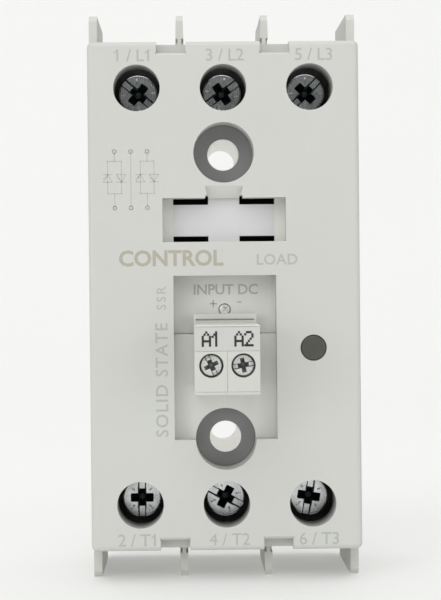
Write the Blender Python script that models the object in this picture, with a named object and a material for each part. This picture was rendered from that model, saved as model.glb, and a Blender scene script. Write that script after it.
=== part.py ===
"""Three-pole solid state relay in a slim housing, with a pluggable control terminal.

Frame: the origin is the middle of the base plate's contact face, +Z is up and the front faces -Y, in metres.
A depth is a distance in front of the contact face, so a point at depth d has y = -d.
"""

import math

import bmesh
import bpy
from mathutils import Matrix, Vector

MM = 0.001

# Clearances and tool allowances
GAP = 0.3 * MM  # between pieces that seat on, or pass through, each other
REACH = 1.0 * MM  # how far a cutter runs past the face that it opens
ROOT = 0.5 * MM  # how far a rib or collar runs into the wall that carries it
THREAD_GAP = 0.35 * MM  # radial, between a screw and the thread or hole around it
DRIVE_REACH = 0.6  # how far a driver's recess reaches across its screw's head

# Overall form
BODY_WIDTH = 44.9 * MM
FACE_HEIGHT = 84.3 * MM
FIN_SPAN = 95.0 * MM
FACE_DEPTH = 33.0 * MM
EDGE_ROUND = 0.9 * MM

# Base plate
PLATE_THICKNESS = 3.0 * MM
PLATE_HEIGHT = 88.0 * MM
PLATE_SCREW_RADIUS = 1.0 * MM
PLATE_SCREW_HEAD_RADIUS = 2.0 * MM
PLATE_SCREW_LENGTH = 9.5 * MM

# Front cover
COVER_DEPTH = 7.0 * MM
COVER_WALL = 1.6 * MM
COLLAR_WALL = 1.35 * MM
DRIVER_HOLE_RADIUS = 3.85 * MM
NOTCH_START = 6.15 * MM
NOTCH_WIDTH = 4.85 * MM
NOTCH_HEIGHT = 1.9 * MM

# Base housing
HOUSING_WALL = 1.7 * MM
HOUSING_STEP = 0.25 * MM  # the housing stands this far inside the cover's edge, top and bottom
DECK_DEPTH = 14.0 * MM
DECK_THICKNESS = 2.2 * MM
CHAMBER_LENGTH = 13.0 * MM
INNER_WALL = 1.5 * MM
PARTITION_WALL = 1.5 * MM
FIN_THICKNESS = 1.5 * MM
FIN_TIP_THICKNESS = 1.15 * MM
OUTER_FIN_THICKNESS = 1.4 * MM
FIN_TIP_CHAMFER = 1.0 * MM
WIRE_DOOR_WIDTH = 9.2 * MM
WIRE_DOOR_RISE = 6.4 * MM

# Mounting holes
MOUNT_SPACING = 47.5 * MM
MOUNT_HOLE_RADIUS = 2.55 * MM
MOUNT_TUBE_WALL = 1.35 * MM
COUNTERBORE_RADIUS = 5.0 * MM
COUNTERBORE_DEPTH = 6.8 * MM
COUNTERBORE_FLOOR = 1.2 * MM

# Main terminals
TERMINAL_PITCH = 14.3 * MM
TERMINAL_HEIGHT = 34.5 * MM
TERMINAL_SCREW_RADIUS = 1.95 * MM
TERMINAL_SCREW_LENGTH = 9.0 * MM
TERMINAL_HEAD_RADIUS = 3.3 * MM
TERMINAL_HEAD_THICKNESS = 2.2 * MM
TERMINAL_SLOT_WIDTH = 0.9 * MM
TERMINAL_SLOT_DEPTH = 1.1 * MM
CLAMP_WIDTH = 8.4 * MM
CLAMP_LENGTH = 8.0 * MM
CLAMP_THICKNESS = 1.2 * MM
NUT_WIDTH = 6.8 * MM
NUT_THICKNESS = 3.0 * MM
BUSBAR_WIDTH = 8.8 * MM
BUSBAR_THICKNESS = 1.2 * MM
BUSBAR_TAB_LENGTH = 9.8 * MM
BUSBAR_FOOT_LENGTH = 10.3 * MM
BRIDGE_LEG_WIDTH = 5.9 * MM
BRIDGE_RUNNER_WIDTH = 5.0 * MM
BRIDGE_RUNNER_DEPTH = 9.5 * MM

# Power semiconductors
SUBSTRATE_WIDTH = 14.6 * MM
SUBSTRATE_LENGTH = 54.0 * MM
SUBSTRATE_THICKNESS = 0.7 * MM
CHIP_SIZE = 8.0 * MM
CHIP_THICKNESS = 0.5 * MM
CHIP_OFFSET = 10.0 * MM
GATE_PIN_RADIUS = 0.5 * MM

# Circuit board and what it carries
BOARD_DROP = 3.9 * MM  # from the cover's screw cups back to the board
BOARD_THICKNESS = 1.6 * MM
BOARD_LEDGE_WIDTH = 2.2 * MM
BOARD_LEDGE_HEIGHT = 8.0 * MM
BOARD_LEDGE_THICKNESS = 2.7 * MM
OPTO_SIZE = (8.5 * MM, 3.5 * MM, 6.4 * MM)
OPTO_OFFSET = 13.0 * MM
VARISTOR_RADIUS = 3.5 * MM
VARISTOR_THICKNESS = 4.0 * MM
VARISTOR_OFFSET = 12.5 * MM
CAPACITOR_SIZE = (9.5 * MM, 7.0 * MM, 5.5 * MM)
CAPACITOR_HEIGHT = 15.0 * MM
DRIVER_SIZE = (6.0 * MM, 1.5 * MM, 5.0 * MM)
DRIVER_HEIGHT = 9.0 * MM

# Control pocket in the cover
POCKET_HALF_WIDTH = 8.5 * MM
POCKET_TOP = 3.4 * MM
POCKET_BOTTOM = -23.75 * MM
POCKET_DEPTH = 4.5 * MM
POCKET_WALL = 1.4 * MM
PLATEAU_TOP = -6.3 * MM
PLATEAU_RISE = 1.0 * MM
LED_HEIGHT = -2.3 * MM
LED_RADIUS = 1.0 * MM
LED_FLANGE = 0.5 * MM

# Accessory recess in the cover
RECESS_HALF_WIDTH = 10.2 * MM
RECESS_BOTTOM = 9.0 * MM
RECESS_TOP = 16.25 * MM
RECESS_DEPTH = 3.5 * MM
RECESS_WALL = 1.4 * MM
LATCH_SLOT_START = 2.6 * MM
LATCH_SLOT_WIDTH = 5.85 * MM
LATCH_SLOT_HEIGHT = 0.98 * MM
RAMP_RUN = 2.0 * MM
RAMP_TOP_HALF_WIDTH = 3.15 * MM
RAMP_FOOT_HALF_WIDTH = 2.6 * MM

# Smoked window for the internal indicator
WINDOW_X = 14.6 * MM
WINDOW_Z = -8.7 * MM
WINDOW_RADIUS = 2.15 * MM
WINDOW_FLANGE = 0.75 * MM
WINDOW_FLANGE_THICKNESS = 1.0 * MM

# Control header and plug
PLUG_PITCH = 5.08 * MM
PLUG_SIDE = 2.69 * MM  # from a pole's middle to the plug's side
PLUG_TOP = -4.4 * MM
PLUG_BOTTOM = -15.6 * MM
PLUG_LENGTH = 15.7 * MM
HEADER_TOP = -2.9 * MM
HEADER_FLANGE = 1.2 * MM
HEADER_STEM_INSET = 0.6 * MM
HEADER_PIN_RADIUS = 0.5 * MM
HEADER_PIN_Z = -7.2 * MM
HEADER_PIN_REACH = 4.2 * MM
PLUG_BACK_WALL = 0.9 * MM
PLUG_SCREW_Z = -10.9 * MM
PLUG_WELL_RADIUS = 2.05 * MM
PLUG_WELL_DEPTH = 3.5 * MM
PLUG_HEAD_RADIUS = 1.65 * MM
PLUG_HEAD_THICKNESS = 1.7 * MM
PLUG_SCREW_RADIUS = 0.95 * MM
PLUG_SLOT_WIDTH = 0.5 * MM
PLUG_SLOT_DEPTH = 0.7 * MM
CAGE_HALF_WIDTH = 1.8 * MM
CAGE_HEIGHT = 4.6 * MM
CAGE_LENGTH = 6.0 * MM
CAGE_WALL = 0.8 * MM
CAGE_SIDE_WALL = 0.45 * MM
CAGE_TRAVEL = 2.5 * MM
CONTACT_THICKNESS = 0.8 * MM
WIRE_GAP = 2.8 * MM
SOCKET_HALF_WIDTH = 1.25 * MM
SOCKET_HEIGHT = 2.3 * MM
LABEL_BOTTOM = -8.4 * MM
LABEL_MARGIN = 0.35 * MM
LABEL_THICKNESS = 0.4 * MM

# Names of the terminals with their column, row and the angle of the screw's slot in degrees
TERMINALS = (
    ("l1", -1, 1, -40.0),
    ("l2", 0, 1, 35.0),
    ("l3", 1, 1, 45.0),
    ("t1", -1, -1, 90.0),
    ("t2", 0, -1, -28.0),
    ("t3", 1, -1, 80.0),
)
POLES = (("a1", -1, 115.0), ("a2", 1, 10.0))

# Sizes worked out from the ones above
HALF_WIDTH = BODY_WIDTH / 2
HALF_FACE = FACE_HEIGHT / 2
SPLIT_DEPTH = FACE_DEPTH - COVER_DEPTH
HOUSING_FRONT = SPLIT_DEPTH - GAP
HOUSING_BACK = PLATE_THICKNESS + GAP
HOUSING_HALF_HEIGHT = HALF_FACE - HOUSING_STEP
CHAMBER_END = HOUSING_HALF_HEIGHT - HOUSING_WALL
CHAMBER_START = HOUSING_HALF_HEIGHT - CHAMBER_LENGTH
INNER_WALL_START = CHAMBER_START - INNER_WALL
DECK_FRONT = DECK_DEPTH + DECK_THICKNESS
TAB_BACK = DECK_FRONT + GAP
TAB_FRONT = TAB_BACK + BUSBAR_THICKNESS
CLAMP_BACK = TAB_FRONT + GAP
CLAMP_FRONT = CLAMP_BACK + CLAMP_THICKNESS
HEAD_BACK = CLAMP_FRONT + GAP
TAB_OUTER = TERMINAL_HEIGHT + BUSBAR_TAB_LENGTH / 2
LEG_INNER = TAB_OUTER - BUSBAR_TAB_LENGTH
LEG_OUTER = LEG_INNER + BUSBAR_THICKNESS
NUT_HALF = NUT_WIDTH / 2
MOUNT_HEIGHT = MOUNT_SPACING / 2
MOUNT_TUBE_RADIUS = MOUNT_HOLE_RADIUS + MOUNT_TUBE_WALL
LEDGE_DEPTH = FACE_DEPTH - COUNTERBORE_DEPTH
MOUNT_TUBE_FRONT = LEDGE_DEPTH - COUNTERBORE_FLOOR - GAP
PARTITION_X = TERMINAL_PITCH / 2
SUBSTRATE_BACK = PLATE_THICKNESS + GAP
SUBSTRATE_FRONT = SUBSTRATE_BACK + SUBSTRATE_THICKNESS
FOOT_BACK = SUBSTRATE_FRONT + GAP
BOARD_FRONT = LEDGE_DEPTH - COUNTERBORE_FLOOR - BOARD_DROP
BOARD_DEPTH = BOARD_FRONT - BOARD_THICKNESS
POCKET_FLOOR = FACE_DEPTH - POCKET_DEPTH
PLATEAU_FLOOR = POCKET_FLOOR + PLATEAU_RISE
RECESS_FLOOR = FACE_DEPTH - RECESS_DEPTH
PLUG_HALF_WIDTH = PLUG_PITCH / 2 + PLUG_SIDE
HEADER_BACK = PLATEAU_FLOOR + GAP
HEADER_FRONT = HEADER_BACK + HEADER_FLANGE
PLUG_BACK = HEADER_FRONT + GAP
PLUG_FRONT_DEPTH = PLUG_BACK + PLUG_LENGTH
CAGE_BACK = PLUG_BACK + PLUG_BACK_WALL + GAP
CAGE_FRONT = CAGE_BACK + CAGE_LENGTH
CONTACT_BACK = CAGE_BACK + CAGE_WALL + WIRE_GAP
CONTACT_FRONT = CONTACT_BACK + CONTACT_THICKNESS
CAGE_ROOM_FRONT = CAGE_FRONT + CAGE_TRAVEL + GAP
PLUG_SEAT = PLUG_FRONT_DEPTH - PLUG_WELL_DEPTH
PLATE_SCREW_Z = CHAMBER_END - PLATE_SCREW_HEAD_RADIUS + GAP


# ---------------------------------------------------------------- modelling tools


def make_material(name, colour, roughness, metallic=0.0):
    material = bpy.data.materials.new(name)
    material.use_nodes = True
    shader = material.node_tree.nodes["Principled BSDF"]
    shader.inputs["Base Color"].default_value = (*colour, 1.0)
    shader.inputs["Roughness"].default_value = roughness
    shader.inputs["Metallic"].default_value = metallic
    return material


def finish_object(name, bm, material):
    """Turns a bmesh into an object. One with no material is a tool for a Boolean, and isn't rendered."""
    bmesh.ops.recalc_face_normals(bm, faces=bm.faces)
    mesh = bpy.data.meshes.new(name)
    bm.to_mesh(mesh)
    bm.free()
    mesh.shade_smooth()
    mesh.set_sharp_from_angle(angle=math.radians(35))
    obj = bpy.data.objects.new(name, mesh)
    bpy.context.scene.collection.objects.link(obj)
    if material:
        mesh.materials.append(material)
    else:
        obj.hide_render = True
        obj.display_type = "WIRE"
    return obj


def block(name, x, depth, z, material=None):
    """A box between two values on each axis."""
    bm = bmesh.new()
    bmesh.ops.create_cube(bm, size=1.0)
    size = Vector((x[1] - x[0], depth[1] - depth[0], z[1] - z[0]))
    centre = Vector((x[0] + x[1], -depth[0] - depth[1], z[0] + z[1])) / 2
    bmesh.ops.scale(bm, vec=size, verts=bm.verts)
    bmesh.ops.translate(bm, vec=centre, verts=bm.verts)
    return finish_object(name, bm, material)


def rounded_block(name, x, depth, z, radius, material=None):
    """A box whose front face and corner edges are rounded, and whose back face is square."""
    bm = bmesh.new()
    bmesh.ops.create_cube(bm, size=1.0)
    size = Vector((x[1] - x[0], depth[1] - depth[0], z[1] - z[0]))
    centre = Vector((x[0] + x[1], -depth[0] - depth[1], z[0] + z[1])) / 2
    bmesh.ops.scale(bm, vec=size, verts=bm.verts)
    bmesh.ops.translate(bm, vec=centre, verts=bm.verts)
    back = -depth[0] - radius / 2
    edges = [edge for edge in bm.edges if min(vert.co.y for vert in edge.verts) < back]
    bmesh.ops.bevel(bm, geom=edges, offset=radius, segments=3, profile=0.5, affect="EDGES")
    return finish_object(name, bm, material)


def turned(name, x, z, profile, sides, material=None):
    """A solid of revolution about a line along Y. The profile lists (radius, depth) from back to front."""
    bm = bmesh.new()
    points = [(0.0, profile[0][1]), *profile, (0.0, profile[-1][1])]
    verts = [bm.verts.new((x + radius, -depth, z)) for radius, depth in points]
    edges = [bm.edges.new(pair) for pair in zip(verts, verts[1:])]
    bmesh.ops.spin(
        bm,
        geom=[*verts, *edges],
        cent=(x, 0.0, z),
        axis=(0.0, 1.0, 0.0),
        angle=math.tau,
        steps=sides,
        use_merge=True,
    )
    bmesh.ops.remove_doubles(bm, verts=bm.verts, dist=1e-7)
    return finish_object(name, bm, material)


def drum(name, x, z, radius, depth, sides=24, material=None):
    return turned(name, x, z, [(radius, depth[0]), (radius, depth[1])], sides, material)


def hull(name, points, material=None):
    """The convex solid around some (x, depth, z) points."""
    bm = bmesh.new()
    for x, depth, z in points:
        bm.verts.new((x, -depth, z))
    bmesh.ops.convex_hull(bm, input=bm.verts)
    bmesh.ops.dissolve_limit(bm, angle_limit=math.radians(1), verts=bm.verts, edges=bm.edges)
    return finish_object(name, bm, material)


def combine(target, operation, pieces):
    group = bpy.data.collections.new(f"{target.name}_{operation.lower()}_{len(target.modifiers)}")
    bpy.context.scene.collection.children.link(group)
    for piece in pieces:
        group.objects.link(piece)
        bpy.context.scene.collection.objects.unlink(piece)
    modifier = target.modifiers.new(group.name, "BOOLEAN")
    modifier.operation = operation
    modifier.solver = "EXACT"
    modifier.operand_type = "COLLECTION"
    modifier.collection = group


def join(target, *pieces):
    combine(target, "UNION", pieces)


def cut(target, *pieces):
    combine(target, "DIFFERENCE", pieces)


def move_origin(obj, x, depth, z):
    """Puts an object's origin on its joint's axis, with its shape left where it is."""
    point = Vector((x, -depth, z))
    obj.data.transform(Matrix.Translation(-point))
    obj.location = point


def spread(middle, half):
    return (middle - half, middle + half)


def mirrored(low, high, side):
    """A range on one side of the middle, in rising order: side is 1 or -1."""
    return (low, high) if side > 0 else (-high, -low)


# ---------------------------------------------------------------- materials

COVER_GREY = make_material("cover_grey", (0.66, 0.665, 0.64), 0.55)
HOUSING_GREY = make_material("housing_grey", (0.62, 0.625, 0.60), 0.58)
PLUG_GREY = make_material("plug_grey", (0.64, 0.63, 0.58), 0.5)
LABEL_GREY = make_material("label_grey", (0.72, 0.715, 0.68), 0.6)
PLATE_METAL = make_material("plate_metal", (0.76, 0.76, 0.75), 0.35, 1.0)
ZINC = make_material("zinc_steel", (0.68, 0.69, 0.68), 0.3, 1.0)
COPPER = make_material("tinned_copper", (0.72, 0.56, 0.36), 0.35, 1.0)
CERAMIC = make_material("substrate_ceramic", (0.86, 0.86, 0.84), 0.4)
SILICON = make_material("silicon", (0.18, 0.19, 0.21), 0.25)
BOARD_GREEN = make_material("board_green", (0.05, 0.22, 0.12), 0.4)
EPOXY_BLACK = make_material("epoxy_black", (0.03, 0.03, 0.03), 0.5)
VARISTOR_BLUE = make_material("varistor_blue", (0.06, 0.16, 0.42), 0.4)
FILM_YELLOW = make_material("film_yellow", (0.75, 0.52, 0.10), 0.45)
LENS_CLEAR = make_material("lens_clear", (0.80, 0.82, 0.72), 0.15)
LENS_SMOKED = make_material("lens_smoked", (0.09, 0.09, 0.08), 0.2)


# ---------------------------------------------------------------- base plate


def build_base_plate():
    plate = rounded_block(
        "base_plate",
        spread(0, HALF_WIDTH),
        (0, PLATE_THICKNESS),
        spread(0, PLATE_HEIGHT / 2),
        EDGE_ROUND / 2,
        PLATE_METAL,
    )
    holes = [
        drum(
            f"plate_hole_{side}", 0, side * MOUNT_HEIGHT, MOUNT_HOLE_RADIUS, (-REACH, PLATE_THICKNESS + REACH)
        )
        for side in (-1, 1)
    ]
    for column in (-1, 1):
        for row in (-1, 1):
            profile = [
                (PLATE_SCREW_HEAD_RADIUS + GAP * 2 + REACH, -REACH),
                (PLATE_SCREW_RADIUS + GAP, PLATE_SCREW_HEAD_RADIUS - PLATE_SCREW_RADIUS + GAP),
                (PLATE_SCREW_RADIUS + GAP, PLATE_THICKNESS + REACH),
            ]
            name = f"plate_sink_{column}_{row}"
            holes.append(turned(name, column * PARTITION_X, row * PLATE_SCREW_Z, profile, 20))
    cut(plate, *holes)


def build_plate_screws():
    """Countersunk screws that hold the plate to the housing, sunk just below the contact face."""
    number = 0
    for row in (1, -1):
        for column in (-1, 1):
            number += 1
            cone_end = GAP + PLATE_SCREW_HEAD_RADIUS - PLATE_SCREW_RADIUS
            profile = [
                (PLATE_SCREW_HEAD_RADIUS, GAP),
                (PLATE_SCREW_RADIUS, cone_end),
                (PLATE_SCREW_RADIUS, GAP + PLATE_SCREW_LENGTH),
            ]
            x, z = column * PARTITION_X, row * PLATE_SCREW_Z
            screw = turned(f"plate_screw_{number}", x, z, profile, 16, ZINC)
            reach = PLATE_SCREW_HEAD_RADIUS * DRIVE_REACH
            cut(
                screw,
                block(f"plate_screw_slot_{number}", spread(x, reach), (-REACH, GAP * 2), spread(z, GAP)),
            )


# ---------------------------------------------------------------- base housing


def housing_blank():
    """The housing's full outline, with the outer fins' front tips chamfered."""
    tip = FIN_SPAN / 2
    points = []
    for x in (-HALF_WIDTH, HALF_WIDTH):
        for row in (-1, 1):
            points += [
                (x, HOUSING_BACK, row * tip),
                (x, HOUSING_FRONT - FIN_TIP_CHAMFER, row * tip),
                (x, HOUSING_FRONT, row * (tip - FIN_TIP_CHAMFER)),
            ]
    return hull("base_housing", points, HOUSING_GREY)


def inner_fin(name, x, row):
    """One fin past the housing's end. Its root runs into the end wall, and its tip is narrower."""
    root_z = HOUSING_HALF_HEIGHT - HOUSING_WALL / 2
    tip_z = FIN_SPAN / 2
    chamfer = FIN_TIP_CHAMFER
    points = []
    for side in (-1, 1):
        points += [
            (x + side * FIN_THICKNESS / 2, HOUSING_BACK, row * root_z),
            (x + side * FIN_THICKNESS / 2, HOUSING_FRONT, row * root_z),
            (x + side * FIN_TIP_THICKNESS / 2, HOUSING_BACK, row * tip_z),
            (x + side * FIN_TIP_THICKNESS / 2, HOUSING_FRONT - chamfer, row * tip_z),
            (x + side * FIN_TIP_THICKNESS / 2, HOUSING_FRONT, row * (tip_z - chamfer)),
        ]
    return hull(name, points)


def housing_row(row):
    """What one end of the housing adds to its outer wall: deck, inner wall, partitions, bosses, inner fins."""
    tag = "top" if row > 0 else "bottom"
    inside = HALF_WIDTH - HOUSING_WALL / 2
    pieces = [
        block(
            f"deck_{tag}",
            spread(0, inside),
            (DECK_DEPTH, DECK_FRONT),
            mirrored(INNER_WALL_START, CHAMBER_END + ROOT, row),
        ),
        block(
            f"inner_wall_{tag}",
            spread(0, inside),
            (DECK_DEPTH + ROOT, HOUSING_FRONT),
            mirrored(INNER_WALL_START, CHAMBER_START, row),
        ),
        block(
            f"tube_web_{tag}",
            spread(0, MOUNT_TUBE_RADIUS / 2),
            (DECK_DEPTH + ROOT * 2, MOUNT_TUBE_FRONT - ROOT),
            mirrored(MOUNT_HEIGHT + MOUNT_HOLE_RADIUS + GAP, INNER_WALL_START + ROOT, row),
        ),
    ]
    for side in (-1, 1):
        partition = block(
            f"partition_{tag}_{side}",
            spread(side * PARTITION_X, PARTITION_WALL / 2),
            (DECK_FRONT - ROOT, HOUSING_FRONT),
            mirrored(CHAMBER_START - ROOT, CHAMBER_END + ROOT, row),
        )
        boss = drum(
            f"boss_{tag}_{side}",
            side * PARTITION_X,
            row * PLATE_SCREW_Z,
            PLATE_SCREW_HEAD_RADIUS + GAP,
            (HOUSING_BACK, DECK_DEPTH + ROOT),
        )
        pieces += [partition, boss, inner_fin(f"inner_fin_{tag}_{side}", side * PARTITION_X, row)]
    return pieces


def build_base_housing():
    housing = housing_blank()
    past_ends = (HOUSING_BACK - REACH, HOUSING_FRONT + REACH)
    tools = [
        block("housing_cavity", spread(0, HALF_WIDTH - HOUSING_WALL), past_ends, spread(0, CHAMBER_END)),
    ]
    for row in (-1, 1):
        tools.append(
            block(
                f"fin_space_{row}",
                spread(0, HALF_WIDTH - OUTER_FIN_THICKNESS),
                past_ends,
                mirrored(HOUSING_HALF_HEIGHT, FIN_SPAN / 2 + REACH, row),
            )
        )
    cut(housing, *tools)
    additions = housing_row(1) + housing_row(-1)
    for side in (-1, 1):
        tube = drum(
            f"mount_tube_{side}",
            0,
            side * MOUNT_HEIGHT,
            MOUNT_TUBE_RADIUS,
            (HOUSING_BACK, MOUNT_TUBE_FRONT + ROOT),
            32,
        )
        ledge = block(
            f"board_ledge_{side}",
            mirrored(HALF_WIDTH - HOUSING_WALL - BOARD_LEDGE_WIDTH, HALF_WIDTH - HOUSING_WALL / 2, side),
            (BOARD_DEPTH - GAP - BOARD_LEDGE_THICKNESS, BOARD_DEPTH - GAP),
            spread(0, BOARD_LEDGE_HEIGHT / 2),
        )
        additions += [tube, ledge]
    join(housing, *additions)
    cut(housing, *housing_openings())


def housing_openings():
    """Bores, nut pockets, busbar slots and the doors that the wires come in through."""
    tools = []
    for side in (-1, 1):
        tools.append(
            drum(
                f"mount_bore_{side}",
                0,
                side * MOUNT_HEIGHT,
                MOUNT_HOLE_RADIUS,
                (HOUSING_BACK - REACH, MOUNT_TUBE_FRONT + REACH),
                32,
            )
        )
        tools.append(
            drum(
                f"cup_room_{side}",
                0,
                side * MOUNT_HEIGHT,
                COUNTERBORE_RADIUS + COLLAR_WALL + GAP,
                (MOUNT_TUBE_FRONT, HOUSING_FRONT + REACH),
                40,
            )
        )
        for row in (-1, 1):
            tools.append(
                drum(
                    f"boss_bore_{side}_{row}",
                    side * PARTITION_X,
                    row * PLATE_SCREW_Z,
                    PLATE_SCREW_RADIUS + GAP,
                    (HOUSING_BACK - REACH, PLATE_SCREW_LENGTH + GAP * 3),
                    16,
                )
            )
    for name, column, row, _ in TERMINALS:
        x = column * TERMINAL_PITCH
        leg = spread(x, BUSBAR_WIDTH / 2 + GAP) if column else (-GAP, BRIDGE_LEG_WIDTH + GAP)
        tools += [
            block(
                f"nut_pocket_{name}",
                spread(x, NUT_HALF + GAP),
                (DECK_DEPTH - REACH, DECK_FRONT + REACH),
                mirrored(TERMINAL_HEIGHT - NUT_HALF - GAP, TERMINAL_HEIGHT + NUT_HALF + GAP, row),
            ),
            block(
                f"leg_slot_{name}",
                leg,
                (DECK_DEPTH - REACH, DECK_FRONT + GAP / 2),
                mirrored(LEG_INNER - GAP, LEG_OUTER + GAP * 2, row),
            ),
            block(
                f"wire_door_{name}",
                spread(x, WIRE_DOOR_WIDTH / 2),
                (TAB_BACK, TAB_BACK + WIRE_DOOR_RISE),
                mirrored(CHAMBER_END - REACH, HOUSING_HALF_HEIGHT + REACH, row),
            ),
        ]
    return tools


# ---------------------------------------------------------------- front cover


def build_front_cover():
    cover = rounded_block(
        "front_cover",
        spread(0, HALF_WIDTH),
        (SPLIT_DEPTH, FACE_DEPTH),
        spread(0, HALF_FACE),
        EDGE_ROUND,
        COVER_GREY,
    )
    cut(
        cover,
        block(
            "cover_cavity",
            spread(0, HALF_WIDTH - COVER_WALL),
            (SPLIT_DEPTH - REACH, FACE_DEPTH - COVER_WALL),
            spread(0, HALF_FACE - COVER_WALL),
        ),
    )
    join(cover, *cover_walls())
    cut(cover, *cover_openings())


def cover_walls():
    """Collars, cups, pocket and recess walls behind the face."""
    carried = FACE_DEPTH - COVER_WALL / 2
    walls = [
        block(
            "pocket_walls",
            spread(0, POCKET_HALF_WIDTH + POCKET_WALL),
            (POCKET_FLOOR - POCKET_WALL, carried),
            (POCKET_BOTTOM - POCKET_WALL, POCKET_TOP + POCKET_WALL),
        ),
        block(
            "recess_walls",
            spread(0, RECESS_HALF_WIDTH + RECESS_WALL),
            (RECESS_FLOOR - RECESS_WALL, carried),
            (RECESS_BOTTOM - RECESS_WALL, RECESS_TOP + RECESS_WALL),
        ),
        block(
            "ramp_backing",
            spread(0, RAMP_TOP_HALF_WIDTH + RECESS_WALL),
            (RECESS_FLOOR - RECESS_WALL + ROOT, carried),
            (RECESS_TOP, RECESS_TOP + RAMP_RUN + RECESS_WALL),
        ),
    ]
    for side in (-1, 1):
        walls.append(
            drum(
                f"screw_cup_{side}",
                0,
                side * MOUNT_HEIGHT,
                COUNTERBORE_RADIUS + COLLAR_WALL,
                (LEDGE_DEPTH - COUNTERBORE_FLOOR, carried),
                40,
            )
        )
        for row in (-1, 1):
            walls.append(
                block(
                    f"notch_wall_{side}_{row}",
                    mirrored(NOTCH_START - COLLAR_WALL, NOTCH_START + NOTCH_WIDTH + COLLAR_WALL, side),
                    (SPLIT_DEPTH, carried),
                    mirrored(HALF_FACE - NOTCH_HEIGHT - COLLAR_WALL, HALF_FACE - COVER_WALL / 2, row),
                )
            )
    for name, column, row, _ in TERMINALS:
        walls.append(
            drum(
                f"collar_{name}",
                column * TERMINAL_PITCH,
                row * TERMINAL_HEIGHT,
                DRIVER_HOLE_RADIUS + COLLAR_WALL,
                (SPLIT_DEPTH, carried),
            )
        )
    return walls


def cover_openings():
    front = FACE_DEPTH + REACH
    tools = [
        block("pocket_cut", spread(0, POCKET_HALF_WIDTH), (POCKET_FLOOR, front), (PLATEAU_TOP, POCKET_TOP)),
        block(
            "plateau_cut",
            spread(0, POCKET_HALF_WIDTH),
            (PLATEAU_FLOOR, front),
            (POCKET_BOTTOM, PLATEAU_TOP + ROOT),
        ),
        block(
            "header_cut",
            spread(0, PLUG_HALF_WIDTH - HEADER_STEM_INSET + GAP),
            (POCKET_FLOOR - POCKET_WALL - REACH, front),
            (PLUG_BOTTOM + HEADER_STEM_INSET - GAP, HEADER_TOP - HEADER_STEM_INSET * 2 + GAP),
        ),
        drum("led_cut", 0, LED_HEIGHT, LED_RADIUS + GAP, (POCKET_FLOOR - POCKET_WALL - REACH, front), 20),
        block("recess_cut", spread(0, RECESS_HALF_WIDTH), (RECESS_FLOOR, front), (RECESS_BOTTOM, RECESS_TOP)),
        ramp_cut(),
        drum("window_cut", WINDOW_X, WINDOW_Z, WINDOW_RADIUS + GAP, (SPLIT_DEPTH, front), 32),
    ]
    for side in (-1, 1):
        z = side * MOUNT_HEIGHT
        tools.append(drum(f"counterbore_{side}", 0, z, COUNTERBORE_RADIUS, (LEDGE_DEPTH, front), 40))
        tools.append(drum(f"cup_hole_{side}", 0, z, MOUNT_HOLE_RADIUS, (SPLIT_DEPTH - REACH * 2, front), 32))
        slots = {"lower": (RECESS_BOTTOM, RECESS_BOTTOM + LATCH_SLOT_HEIGHT)}
        slots["upper"] = (RECESS_TOP - LATCH_SLOT_HEIGHT, RECESS_TOP)
        for level, span in slots.items():
            tools.append(
                block(
                    f"latch_slot_{level}_{side}",
                    mirrored(LATCH_SLOT_START, LATCH_SLOT_START + LATCH_SLOT_WIDTH, side),
                    (RECESS_FLOOR - RECESS_WALL - REACH, RECESS_FLOOR + ROOT),
                    span,
                )
            )
        for row in (-1, 1):
            tools.append(
                block(
                    f"edge_notch_{side}_{row}",
                    mirrored(NOTCH_START, NOTCH_START + NOTCH_WIDTH, side),
                    (SPLIT_DEPTH - REACH, front),
                    mirrored(HALF_FACE - NOTCH_HEIGHT, HALF_FACE + REACH, row),
                )
            )
    for name, column, row, _ in TERMINALS:
        tools.append(
            drum(
                f"driver_hole_{name}",
                column * TERMINAL_PITCH,
                row * TERMINAL_HEIGHT,
                DRIVER_HOLE_RADIUS,
                (SPLIT_DEPTH - REACH, front),
                32,
            )
        )
    return tools


def ramp_cut():
    """The thumbnail ramp that slopes from the face down into the accessory recess."""
    top_z = RECESS_TOP + RAMP_RUN
    foot_z = RECESS_TOP - ROOT
    front = FACE_DEPTH + REACH
    points = []
    for side in (-1, 1):
        points += [
            (side * RAMP_FOOT_HALF_WIDTH, RECESS_FLOOR, foot_z),
            (side * RAMP_FOOT_HALF_WIDTH, RECESS_FLOOR, RECESS_TOP),
            (side * RAMP_FOOT_HALF_WIDTH, front, foot_z),
            (side * RAMP_TOP_HALF_WIDTH, FACE_DEPTH, top_z),
            (side * RAMP_TOP_HALF_WIDTH, front, top_z),
        ]
    return hull("ramp_cut", points)


# ---------------------------------------------------------------- main terminals


def build_terminal(name, column, row, angle):
    x, z = column * TERMINAL_PITCH, row * TERMINAL_HEIGHT
    build_nut(name, x, z)
    build_clamp(name, x, z)
    build_terminal_screw(name, x, z, angle)


def build_nut(name, x, z):
    nut_front = DECK_FRONT
    nut = block(
        f"terminal_nut_{name}",
        spread(x, NUT_HALF),
        (nut_front - NUT_THICKNESS, nut_front),
        spread(z, NUT_HALF),
        ZINC,
    )
    bore = TERMINAL_SCREW_RADIUS + THREAD_GAP
    nut_through = (nut_front - NUT_THICKNESS - REACH, nut_front + REACH)
    cut(nut, drum(f"nut_bore_{name}", x, z, bore, nut_through, 20))


def build_clamp(name, x, z):
    """The saddle washer that presses the wires on the busbar and rises with the screw."""
    clamp = block(
        f"wire_clamp_{name}",
        spread(x, CLAMP_WIDTH / 2),
        (CLAMP_BACK, CLAMP_FRONT),
        spread(z, CLAMP_LENGTH / 2),
        ZINC,
    )
    bore = TERMINAL_SCREW_RADIUS + THREAD_GAP
    cut(clamp, drum(f"clamp_bore_{name}", x, z, bore, (CLAMP_BACK - REACH, CLAMP_FRONT + REACH), 20))
    move_origin(clamp, x, CLAMP_BACK, z)


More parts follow.
